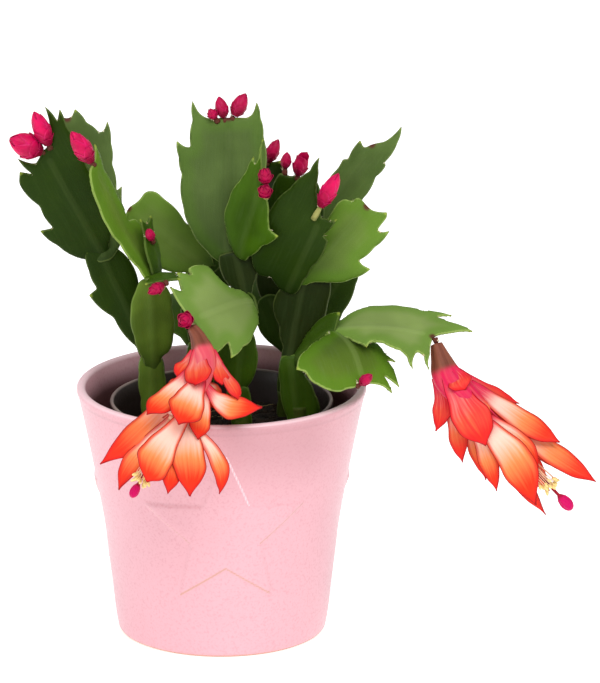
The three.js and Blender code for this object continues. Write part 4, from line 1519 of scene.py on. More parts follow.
    def grow(self, bm: Mesh, paint: FleshPaint) -> list[tuple[Vector, Vector]]:
        """Adds the segment to a stem.

        Args:
            bm: The stem's mesh, in millimetres.
            paint: The stem's attributes.

        Returns:
            A place and a direction for each areole.
        """
        outline, teeth, notches = self.rounded(self.corners())
        faces = self.cut_sheet(bm, outline)
        around = zip(outline, outline[1:] + outline[:1])
        border = near([spot for here, there in around for spot in dotted(here, there)])
        rim = self.rim_ways(faces)
        lower = {vert: (vert.co.x, vert.co.y) for face in faces for vert in face.verts}
        by_place = {spot: vert for vert, spot in lower.items()}
        upper, middle = self.thicken(bm, faces, by_place, rim)
        tooth_tree = near(teeth)
        vein_tree = near(dotted(Vector((0, 0)), Vector((self.length * self.vein_reach, 0))))
        scar_tree = near([Vector((self.length, 0))] if self.scarred else [])
        for group, face_side in ((upper, 1), (lower, -1), (middle, 0)):
            for vert, (u, v) in group.items():
                spot = Vector((u, v, 0))
                margin = border.find(spot)[2]
                lift = face_side * self.half_thickness(u, v, margin)
                twin = by_place[(u, v)]
                if twin in rim and face_side:
                    inward = rim[twin].normalized() * self.round_edge
                    vert.co = self.place(u + inward.x, v + inward.y, lift * self.rim_share)
                else:
                    vert.co = self.place(u, v, lift)
                distances = (margin, tooth_tree.find(spot)[2], self.pale_edge)
                # Painted shade along the midrib and towards the base.
                groove = self.groove * math.exp(-((v / self.groove_width) ** 2))
                shade = max(groove, 1 - ease(u, -2, self.fade))
                marks = (vein_tree.find(spot)[2], scar_tree.find(spot)[2], shade)
                paint.mark(vert, self.green.value, (u, v, self.number), distances, marks)
        bmesh.ops.recalc_face_normals(bm, faces=faces_of([*upper, *lower, *middle]))
        areoles = []
        for notch in notches:
            outward = Vector((notch.x - self.length * 0.5, notch.y * 1.6)).normalized()
            spot = notch - outward * 0.3
            ahead = (self.along * outward.x + self.side * outward.y).normalized()
            areoles.append((self.place(spot.x, spot.y, 0), ahead))
        return areoles


class BudForm(Enum):
    """How far a bud has come."""

    SMOOTH = "smooth"
    KNOBBLY = "knobbly"
    FORKED = "forked"


@dataclass(frozen=True)
class Tier:
    """One ring of overlapping scales on a bud, with heights as shares of the bud."""

    low: float
    high: float
    count: int
    turn: float
    lift: float
    flare: float


@dataclass
class Bud:
    """A closed bud on a cushion at a segment's tip.

    stalk is how deep the cushion's foot is, gap how far the bud stands from the segment and skin the
    thickness of a scale. shape is the bud's outline, as shares of its height and of its half width, and
    overlap how far a scale reaches past its share of the ring.
    """

    name: str
    stem: str
    base: Place
    tip: Place
    width: float
    form: BudForm = BudForm.SMOOTH
    stalk: float = 1.3
    dark: bool = False
    gap: float = 0.8
    skin: float = 0.14
    body_height: float = 0.985
    forked_height: float = 0.68
    body_width: float = 0.94
    overlap: float = 0.62
    shape: Outline = (
        (0, 0.42), (0.12, 0.72), (0.25, 0.9), (0.42, 0.98), (0.62, 0.86), (0.8, 0.6), (0.93, 0.28),
        (1, 0.02),
    )

    def __post_init__(self) -> None:
        """Works out the bud's axis."""
        self.start = Vector(self.base)
        self.axis = Vector(self.tip) - self.start
        self.half = self.width / 2
        self.rise = self.axis.length - self.gap
        self.axis.normalize()

    def cushion(self) -> Seat:
        """Gives the cushion that the bud stands on."""
        green = Green.PITH if self.stalk > 2 else Green.JOINT
        return Seat(self.start, self.axis, self.stalk, self.gap - CLEARANCE, green)

    def tiers(self) -> list[Tier]:
        """Lists the rings of scales for the bud's form.

        Returns:
            The rings, from the inmost.
        """
        if self.form is BudForm.SMOOTH:
            return [
                Tier(0.36, 1.0, 3, 0.3, 0.02, 0.02), Tier(0.14, 0.84, 3, 1.3, 0.05, 0.05),
                Tier(0.0, 0.5, 4, 0.1, 0.08, 0.1), Tier(-0.02, 0.24, 5, 0.7, 0.1, 0.16),
            ]
        if self.form is BudForm.FORKED:
            return [
                Tier(0.3, 1.0, 2, 0.2, 0.04, 1.0), Tier(0.1, 0.8, 3, 1.2, 0.07, 0.22),
                Tier(0.0, 0.45, 4, 0.4, 0.1, 0.2),
            ]
        return [
            Tier(0.4, 1.02, 4, 0.3, 0.04, 0.16), Tier(0.2, 0.76, 4, 1.1, 0.1, 0.26),
            Tier(0.02, 0.46, 5, 0.2, 0.16, 0.3),
        ]

    def build(self, finish: Material) -> None:
        """Turns the bud's body, lays its scales on it and dresses it.

        Args:
            finish: Its material.
        """
        bm = bmesh.new()
        top = self.rise * (self.forked_height if self.form is BudForm.FORKED else self.body_height)
        wall = [(self.half * self.body_width * curve_through(self.shape, t), top * t) for t in shares(22)]
        scale = bm.verts.layers.float_vector.new("scale")
        for vert in spin_profile(bm, [(0, 0), *wall, (0, top * 1.005)], 28):
            # The body shows in the folds between the scales, where it takes painted shade; dark buds take
            # more.
            vert[scale] = (vert.co.z / self.rise, 0, 0.8 if self.dark else 0.5)
        bmesh.ops.recalc_face_normals(bm, faces=bm.faces)
        for tier in self.tiers():
            for k in range(tier.count):
                self.lay_scale(bm, scale, tier, TAU * k / tier.count + tier.turn)
        place = standing(self.start + self.axis * self.gap, self.axis)
        bmesh.ops.transform(bm, matrix=place, verts=bm.verts)
        Piece(f"{self.name}_skin", self.name, "bud_magenta", [finish]).finish(bm, turn_out=False)

    def lay_scale(self, bm: Mesh, layer: object, tier: Tier, heading: float) -> None:
        """Lays one pointed scale on the bud.

        Args:
            bm: The mesh.
            layer: The layer of a place along and across a scale and of its darkness.
            tier: Its ring.
            heading: Its heading round the bud.
        """
        reach = TAU / tier.count * self.overlap
        made = strip(bm, 8, 10)
        for vert in made:
            across, along = vert.co.x, vert.co.y
            share = tier.low + (tier.high - tier.low) * along
            vert[layer] = (share, across, 0.5 if self.dark else 0.0)
            width = math.sqrt(max(0.0, 1 - along**2.6)) * (0.82 + 0.18 * math.sin(math.pi * along))
            turn = heading + across * reach * max(width, 0.03)
            radius = curve_through(self.shape, share) + tier.flare * along**4
            radius = self.half * (radius + tier.lift * (1 - 0.6 * across * across)) + 0.03
            vert.co = Vector((radius * math.cos(turn), radius * math.sin(turn), self.rise * share))
        faces = faces_of(made)
        self.turn_outwards(faces)
        bmesh.ops.solidify(bm, geom=faces, thickness=self.skin)

    @staticmethod
    def turn_outwards(faces: Sequence[Face]) -> None:
        """Turns a scale's faces away from the bud's axis.

        Args:
            faces: The scale's faces.
        """
        for face in faces:
            face.normal_update()
        if sum(face.normal.dot(Vector((*face.calc_center_median().xy, 0))) for face in faces) < 0:
            for face in faces:
                face.normal_flip()


@dataclass(frozen=True)
class Seat:
    """The cushion under a bud or flower: its place and direction, its depth there and its reach above."""

    base: Vector
    axis: Vector
    depth: float
    reach: float
    green: Green = Green.JOINT


@dataclass
class Stem:
    """A rooted cutting: its woody foot, its chain of segments and the cushions that its buds stand on."""

    name: str
    trunk: tuple[float, float]
    segments: Sequence[Segment]
    seats: Sequence[Seat]
    trunk_radius: float = 4
    taper: float = 0.6
    trunk_low: float = 66.3
    trunk_top: float = 90
    tuft: Place = (0.62, 0.5, 0.45)
    bristle_count: int = 3
    bristle_lean: float = 0.7
    bristle_length: Span = (1.0, 1.8)

    def add_trunk(self, bm: Mesh, paint: FleshPaint) -> None:
        """Adds the lumpy foot that stands in the soil.

        Args:
            bm: The mesh.
            paint: The stem's attributes.
        """
        low, top = self.trunk_low, self.trunk_top
        rows = [low + (top - low) * share for share in shares(20)]
        wall = [(self.trunk_radius - self.taper * ease(height, low, top), height) for height in rows]
        for vert in spin_profile(bm, [(0, low), *wall, (0, top)], 28):
            turn = math.atan2(vert.co.y, vert.co.x)
            lump = noise.noise(Vector((turn, vert.co.z / 4, self.trunk[0])))
            swell = 1 + 0.05 * math.cos(5 * turn) + 0.08 * lump
            vert.co.x, vert.co.y = vert.co.x * swell, vert.co.y * swell
            paint.mark(vert, Green.WOODY.value, (vert.co.z, turn * 4, 3.0))
            vert.co += Vector((*self.trunk, 0))

    @staticmethod
    def add_seat(bm: Mesh, paint: FleshPaint, seat: Seat) -> None:
        """Adds the pale cushion under a bud or flower.

        Args:
            bm: The mesh.
            paint: The stem's attributes.
            seat: The cushion.
        """
        height = seat.depth + seat.reach
        profile = [
            (0, 0), (1.2, 0), (1.15, height * 0.35), (1.0, height * 0.7), (0.8, height * 0.95), (0, height),
        ]
        turn = standing(seat.base - seat.axis * seat.depth, seat.axis)
        for vert in spin_profile(bm, profile, 18):
            lump = 1 + 0.16 * noise.noise(vert.co * 0.9 + seat.base)
            surface = (vert.co.x, vert.co.y, vert.co.z)
            vert.co = turn @ Vector((vert.co.x * lump, vert.co.y * lump, vert.co.z))
            paint.mark(vert, seat.green.value, surface)

    def add_areole(self, bm: Mesh, paint: FleshPaint, spot: Vector, ahead: Vector) -> None:
        """Adds a tuft of wool with a few bristles.

        Args:
            bm: The mesh.
            paint: The stem's attributes.
            spot: Its place.
            ahead: The way that it looks.
        """
        made = add_lump(bm, standing(spot, ahead), self.tuft)
        rng = random.Random(round(spot.x * 100) + round(spot.z * 10))
        for _ in range(self.bristle_count):
            lean = (ahead + scattered(rng) * self.bristle_lean).normalized()
            end = spot + lean * rng.uniform(*self.bristle_length)
            made += thread(bm, [spot, end], (0.1, 0.04), 4)
        for vert in made:
            paint.mark(vert, Green.PALE.value, tuple(vert.co))
        for face in faces_of(made):
            face.material_index = 1

    def build(self, flesh: Material, wool: Material) -> None:
        """Grows the stem and dresses it.

        Args:
            flesh: The material of the stem.
            wool: That of its areoles.
        """
        bm = bmesh.new()
        paint = FleshPaint(bm)
        self.add_trunk(bm, paint)
        areoles = []
        for segment in self.segments:
            areoles += segment.grow(bm, paint)
        for seat in self.seats:
            self.add_seat(bm, paint, seat)
            aside = seat.axis.cross(Vector((0.3, 0.9, 0.2))).normalized()
            areoles.append((seat.base + aside * 0.9, (seat.axis + aside).normalized()))
        for spot, ahead in areoles:
            self.add_areole(bm, paint, spot, ahead)
        node = f"stem_{self.name}"
        Piece(f"{node}_flesh", node, "cactus_green", [flesh, wool]).finish(bm, turn_out=False)


# Flowers


@dataclass
class Spine:
    """A smooth line through places, which is read by the distance along it."""

    places: Sequence[Place]
    steps: int = 200

    def __post_init__(self) -> None:
        """Measures the line."""
        self.points = [Vector(place) for place in self.places]
        self.lengths = [0.0]
        spots = [self.at(share)[0] for share in shares(self.steps)]
        for before, spot in zip(spots, spots[1:]):
            self.lengths.append(self.lengths[-1] + (spot - before).length)

    def at(self, share: float) -> tuple[Vector, Vector]:
        """Reads the line between its places.

        Args:
            share: How far through the places, from 0 to 1.

        Returns:
            The point there and the direction of the line.
        """
        last = len(self.points) - 1
        i = min(int(share * last), last - 1)
        t = share * last - i
        here, there = self.points[i], self.points[i + 1]
        before = self.points[i - 1] if i > 0 else here * 2 - there
        after = self.points[i + 2] if i + 2 <= last else there * 2 - here
        lead, trail = (there - before) / 2, (after - here) / 2
        first, second, leaving, arriving = curve_weights(t)
        point = here * first + there * second + lead * leaving + trail * arriving
        ahead = (there - here) * (6 * t - 6 * t**2)
        ahead += lead * (3 * t**2 - 4 * t + 1) + trail * (3 * t**2 - 2 * t)
        return point, ahead.normalized()

    def after(self, distance: float) -> tuple[Vector, Vector]:
        """Gives the point and the direction at a distance along the line.

        Args:
            distance: The distance.

        Returns:
            The point and the direction there.
        """
        i = max(k for k in range(self.steps) if self.lengths[k] <= distance)
        step = self.lengths[i + 1] - self.lengths[i]
        return self.at((i + (distance - self.lengths[i]) / step) / self.steps)


@dataclass(frozen=True)
class Petal:
    """One petal: how far along the tube it leaves, its tip, its width and the push on its middle."""

    leaves: float
    tip: Place
    width: float
    push: Place = (0, 0, 0)


@dataclass
class Flower:
    """An open flower: a bent tube with petals in tiers, a tuft of stamens, and the style with its stigma.

    The tube ends at core, from where the stamens and the style run straight to the stigma. The stamens end
    short of it, and swell is the size of the stigma. widths are a petal's half widths from root to tip, as
    shares of the widest. bend, flare, hollow, roll, nick and crease shape it, and shown is the way that its
    face looks. blushed and collared are where along the tube the crimson of the petals fades.
    """

    name: str
    stem: str
    core: float
    blush: float
    swell: float
    short: float
    stigma: Place
    spine: Sequence[Place]
    tube: Outline
    petals: Sequence[Petal]
    gap: float = 1.2
    seat_depth: float = 1.3
    widths: Outline = (
        (0, 0.34), (0.25, 0.66), (0.5, 0.98), (0.64, 1), (0.8, 0.72), (0.9, 0.34), (0.96, 0.12), (1, 0.03),
    )
    thickness: float = 0.35
    root: float = 0.7
    bend: float = 0.62
    flare: float = 0.3
    hollow: float = 0.14
    roll: float = 0.55
    nick: float = 0.03
    crease: float = 0.2
    crease_width: float = 0.14
    slim: float = 0.88
    shown: Place = (0, -0.95, 0.3)
    tube_fill: float = 0.97
    tube_closing: float = 0.3
    tube_rib: float = 0.05
    rib_end: Span = (9, 16)
    bark_end: Span = (10, 13)
    pale_start: Span = (26, 36)
    blushed: Span = (12, 24)
    collared: Span = (30, 38)
    thread_count: int = 22
    collar: Place = (2.2, 1.9, 1.4)
    thread_foot: float = 1.6
    thread_ends: Span = (-1.4, 2.4)
    thread_spread: Span = (1.8, 3.5)
    pollen: Place = (0.6, 0.6, 1.2)
    thread_radii: Sequence[float] = (0.24, 0.22, 0.2, 0.18, 0.16, 0.14)
    stigma_shape: Outline = (
        (1.0, 5.4), (1.5, 4.5), (1.8, 3.4), (1.85, 2.3), (1.65, 1.3), (1.2, 0.55), (0.6, 0.1), (0, 0),
    )

    def __post_init__(self) -> None:
        """Works out where the tube ends and the straight way from there to the stigma."""
        self.line = Spine(self.spine)
        end = self.line.after(self.core)[0]
        self.aim = Vector(self.stigma) - end
        self.reach = self.aim.length - CLEARANCE
        self.aim.normalize()
        self.mouth = end + self.aim * CLEARANCE

    def cushion(self) -> Seat:
        """Gives the cushion that the flower hangs on."""
        point, ahead = self.line.after(0)
        return Seat(point, ahead, self.seat_depth, self.gap - CLEARANCE)

    def tube_radius(self, along: float) -> float:
        """Gives the tube's radius at a distance along it."""
        return curve_through(self.tube, along)

    def bent(self, spot: Vector) -> Vector:
        """Takes a point of a straight tube to its place on the bent one.

        Args:
            spot: The point.

        Returns:
            Its place.
        """
        point, ahead = self.line.after(spot.z)
        ahead = ahead.lerp(self.aim, ease(spot.z, self.core - 5, self.core)).normalized()
        across = Vector((0, 1, 0)).cross(ahead).normalized()
        return point + across * spot.x + ahead.cross(across) * spot.y

    def add_tube(self, bm: Mesh, petal: object, edge: object) -> None:
        """Adds the ribbed tube and the closed heart that the petals leave.

        Args:
            bm: The mesh.
            petal: The layer of a place along and across a petal and its blush.
            edge: The layer of the distance to a petal's border and of the marks of the tube.
        """
        wall = []
        for share in shares(44):
            distance = self.gap + (self.core - self.gap) * share
            closing = self.tube_closing * ease(distance, self.core - 3, self.core)
            wall.append((self.tube_radius(distance) * (self.tube_fill - closing), distance))
        made = spin_profile(bm, [(0, self.gap), *wall, (0, self.core)], 60)
        bmesh.ops.recalc_face_normals(bm, faces=faces_of(made))
        for vert in made:
            turn = math.atan2(vert.co.y, vert.co.x)
            fading = 1 - ease(vert.co.z, *self.rib_end)
            ribbed = math.cos(5 * turn + 0.6)
            swell = 1 + (self.tube_rib * ribbed + 0.012 * math.cos(19 * turn)) * fading
            streak = 0.5 + 0.3 * ribbed + 0.4 * noise.noise(Vector((turn * 6, vert.co.z / 9, 1.0)))
            vert[petal] = (0.1, turn / 3, self.blush * (1 - ease(vert.co.z, *self.pale_start)))
            vert[edge] = (FAR, 1 - ease(vert.co.z, *self.bark_end), min(1.0, max(0.0, streak)))
            vert.co = self.bent(Vector((vert.co.x * swell, vert.co.y * swell, vert.co.z)))

    def add_petal(self, bm: Mesh, petal: object, edge: object, spec: Petal, seed: int) -> None:
        """Adds one petal, which leaves the tube, bends outwards and ends in a point.

        Args:
            bm: The flower's mesh, in millimetres.
            petal: The layer of a place along and across a petal and its blush.
            edge: The layer of the distance to a petal's border and of the marks of the tube.
            spec: The petal.
            seed: Picks the petal's own waves.
        """
        point, ahead = self.line.after(spec.leaves)
        tip = Vector(spec.tip)
        reach = tip - point
        rise = reach.dot(ahead)
        outwards = reach - ahead * rise
        spread = outwards.length
        outwards.normalize()
        facing = Vector(self.shown) + outwards * self.roll
        root = point + outwards * (self.tube_radius(spec.leaves) - self.root)
        side = (tip - root).cross(facing).normalized()
        bend = root + ahead * rise * self.bend + outwards * spread * self.flare + Vector(spec.push)
        rng = random.Random(seed)
        wave, turn, curl = rng.uniform(0.25, 0.7), rng.uniform(0, TAU), rng.uniform(-0.3, 0.8)
        sway = rng.uniform(-0.9, 0.9)
        length = (tip - root).length
        blush = self.blush * (1 - ease(spec.leaves, *self.blushed))
        collar = self.blush * (1 - ease(spec.leaves, *self.collared))
        made = strip(bm, 16, 30)
        for vert in made:
            across, t = vert.co.x, vert.co.y
            middle = arc(root, bend, tip, t)
            tangent = ((bend - root) * (1 - t) + (tip - bend) * t).normalized()
            normal = side.cross(tangent).normalized()
            half = spec.width / 2 * curve_through(self.widths, t)
            half *= 1 - self.nick * (1 + math.sin(t * 21 + turn + math.copysign(1, across)))
            cup = self.hollow * half * across * across * ease(t, 0, 0.25)
            ruffle = wave * across * across * math.sin(t * 9 + turn + across) * ease(t, 0.1, 0.5)
            crease = self.crease * math.exp(-((across / self.crease_width) ** 2))
            crease *= math.sin(math.pi * min(t * 1.1, 1))
            arch = curl * math.sin(math.pi * t) * ease(t, 0.3, 0.8)
            drift = sway * math.sin(math.pi * t) * ease(t, 0.4, 0.9)
            vert[petal] = (t, across, max(blush, collar * (1 - ease(t, 0.08, 0.3))))
            vert[edge] = (min((1 - abs(across)) * half, (1 - t) * length), 0, 0)
            vert.co = middle + side * (across * half + drift) + normal * (arch - cup - ruffle - crease)
        faces = faces_of(made)
        bmesh.ops.recalc_face_normals(bm, faces=faces)
        bmesh.ops.solidify(bm, geom=faces, thickness=self.thickness)

    def build_petals(self, finish: Material) -> None:
        """Builds the tube with its petals.

        Args:
            finish: Its material.
        """
        bm = bmesh.new()
        petal = bm.verts.layers.float_vector.new("petal")
        edge = bm.verts.layers.float_vector.new("petal_edge")
        self.add_tube(bm, petal, edge)
        for seed, spec in enumerate(self.petals):
            self.add_petal(bm, petal, edge, spec, seed + len(self.name))
        node = f"flower_{self.name}_petals"
        Piece(f"{node}_skin", node, "petal_orange", [finish]).finish(bm, turn_out=False)

    def build_stamens(self, finish: Material) -> None:
        """Builds the filaments and their pollen heads.

        Args:
            finish: Its material.
        """
        bm = bmesh.new()
        head = bm.verts.layers.float.new("head")
        across = self.aim.cross(Vector((0, 0, 1))).normalized()
        rng = random.Random(3)
        low, high, rise = self.collar
        foot = standing(self.mouth + self.aim * rise / 2, self.aim)
        bmesh.ops.create_cone(
            bm, cap_ends=True, segments=24, radius1=low, radius2=high, depth=rise, matrix=foot,
        )
        for i in range(self.thread_count):
            heading = Matrix.Rotation(TAU * i / self.thread_count, 3, self.aim) @ across
            far = self.reach - self.short + rng.uniform(*self.thread_ends)
            spread = rng.uniform(*self.thread_spread)
            route = []
            for t in shares(len(self.thread_radii) - 1):
                out = self.thread_foot + (spread - self.thread_foot) * t * t
                route.append(self.mouth + heading * out + self.aim * (0.5 + (far - 0.5) * t))
            thread(bm, route, self.thread_radii, 6)
            step = (route[-1] - route[-2]).normalized()
            place = standing(route[-1] + step * 0.5, (step + heading * 0.8).normalized())
            for vert in add_lump(bm, place, self.pollen, 2):
                vert[head] = 1.0
        node = f"flower_{self.name}_stamens"
        Piece(f"{node}_threads", node, "stamen_cream", [finish]).finish(bm, turn_out=False)

    def build_pistil(self, finish: Material) -> None:
        """Builds the style and its lobed stigma.

        Args:
            finish: Its material.
        """
        bm = bmesh.new()
        head = bm.verts.layers.float.new("head")
        high, swell = self.reach, self.swell
        stigma = [(radius * swell * self.slim, high - below * swell) for radius, below in self.stigma_shape]
        profile = [(0, 0), (0.6, 0), (0.55, high / 2), (0.6, high - 6 * swell), *stigma]
        place = standing(self.mouth, self.aim)
        for vert in spin_profile(bm, profile, 36):
            turn = math.atan2(vert.co.y, vert.co.x)
            top = ease(vert.co.z, high - 5.6 * swell, high - 4.8 * swell)
            lobe = 1 + 0.12 * math.cos(6 * turn + vert.co.z * 0.4) * top
            vert[head] = top
            vert.co = place @ Vector((vert.co.x * lobe, vert.co.y * lobe, vert.co.z))
        node = f"flower_{self.name}_pistil"
        Piece(f"{node}_style", node, "pistil_magenta", [finish]).finish(bm)


# Outlines and places, in millimetres

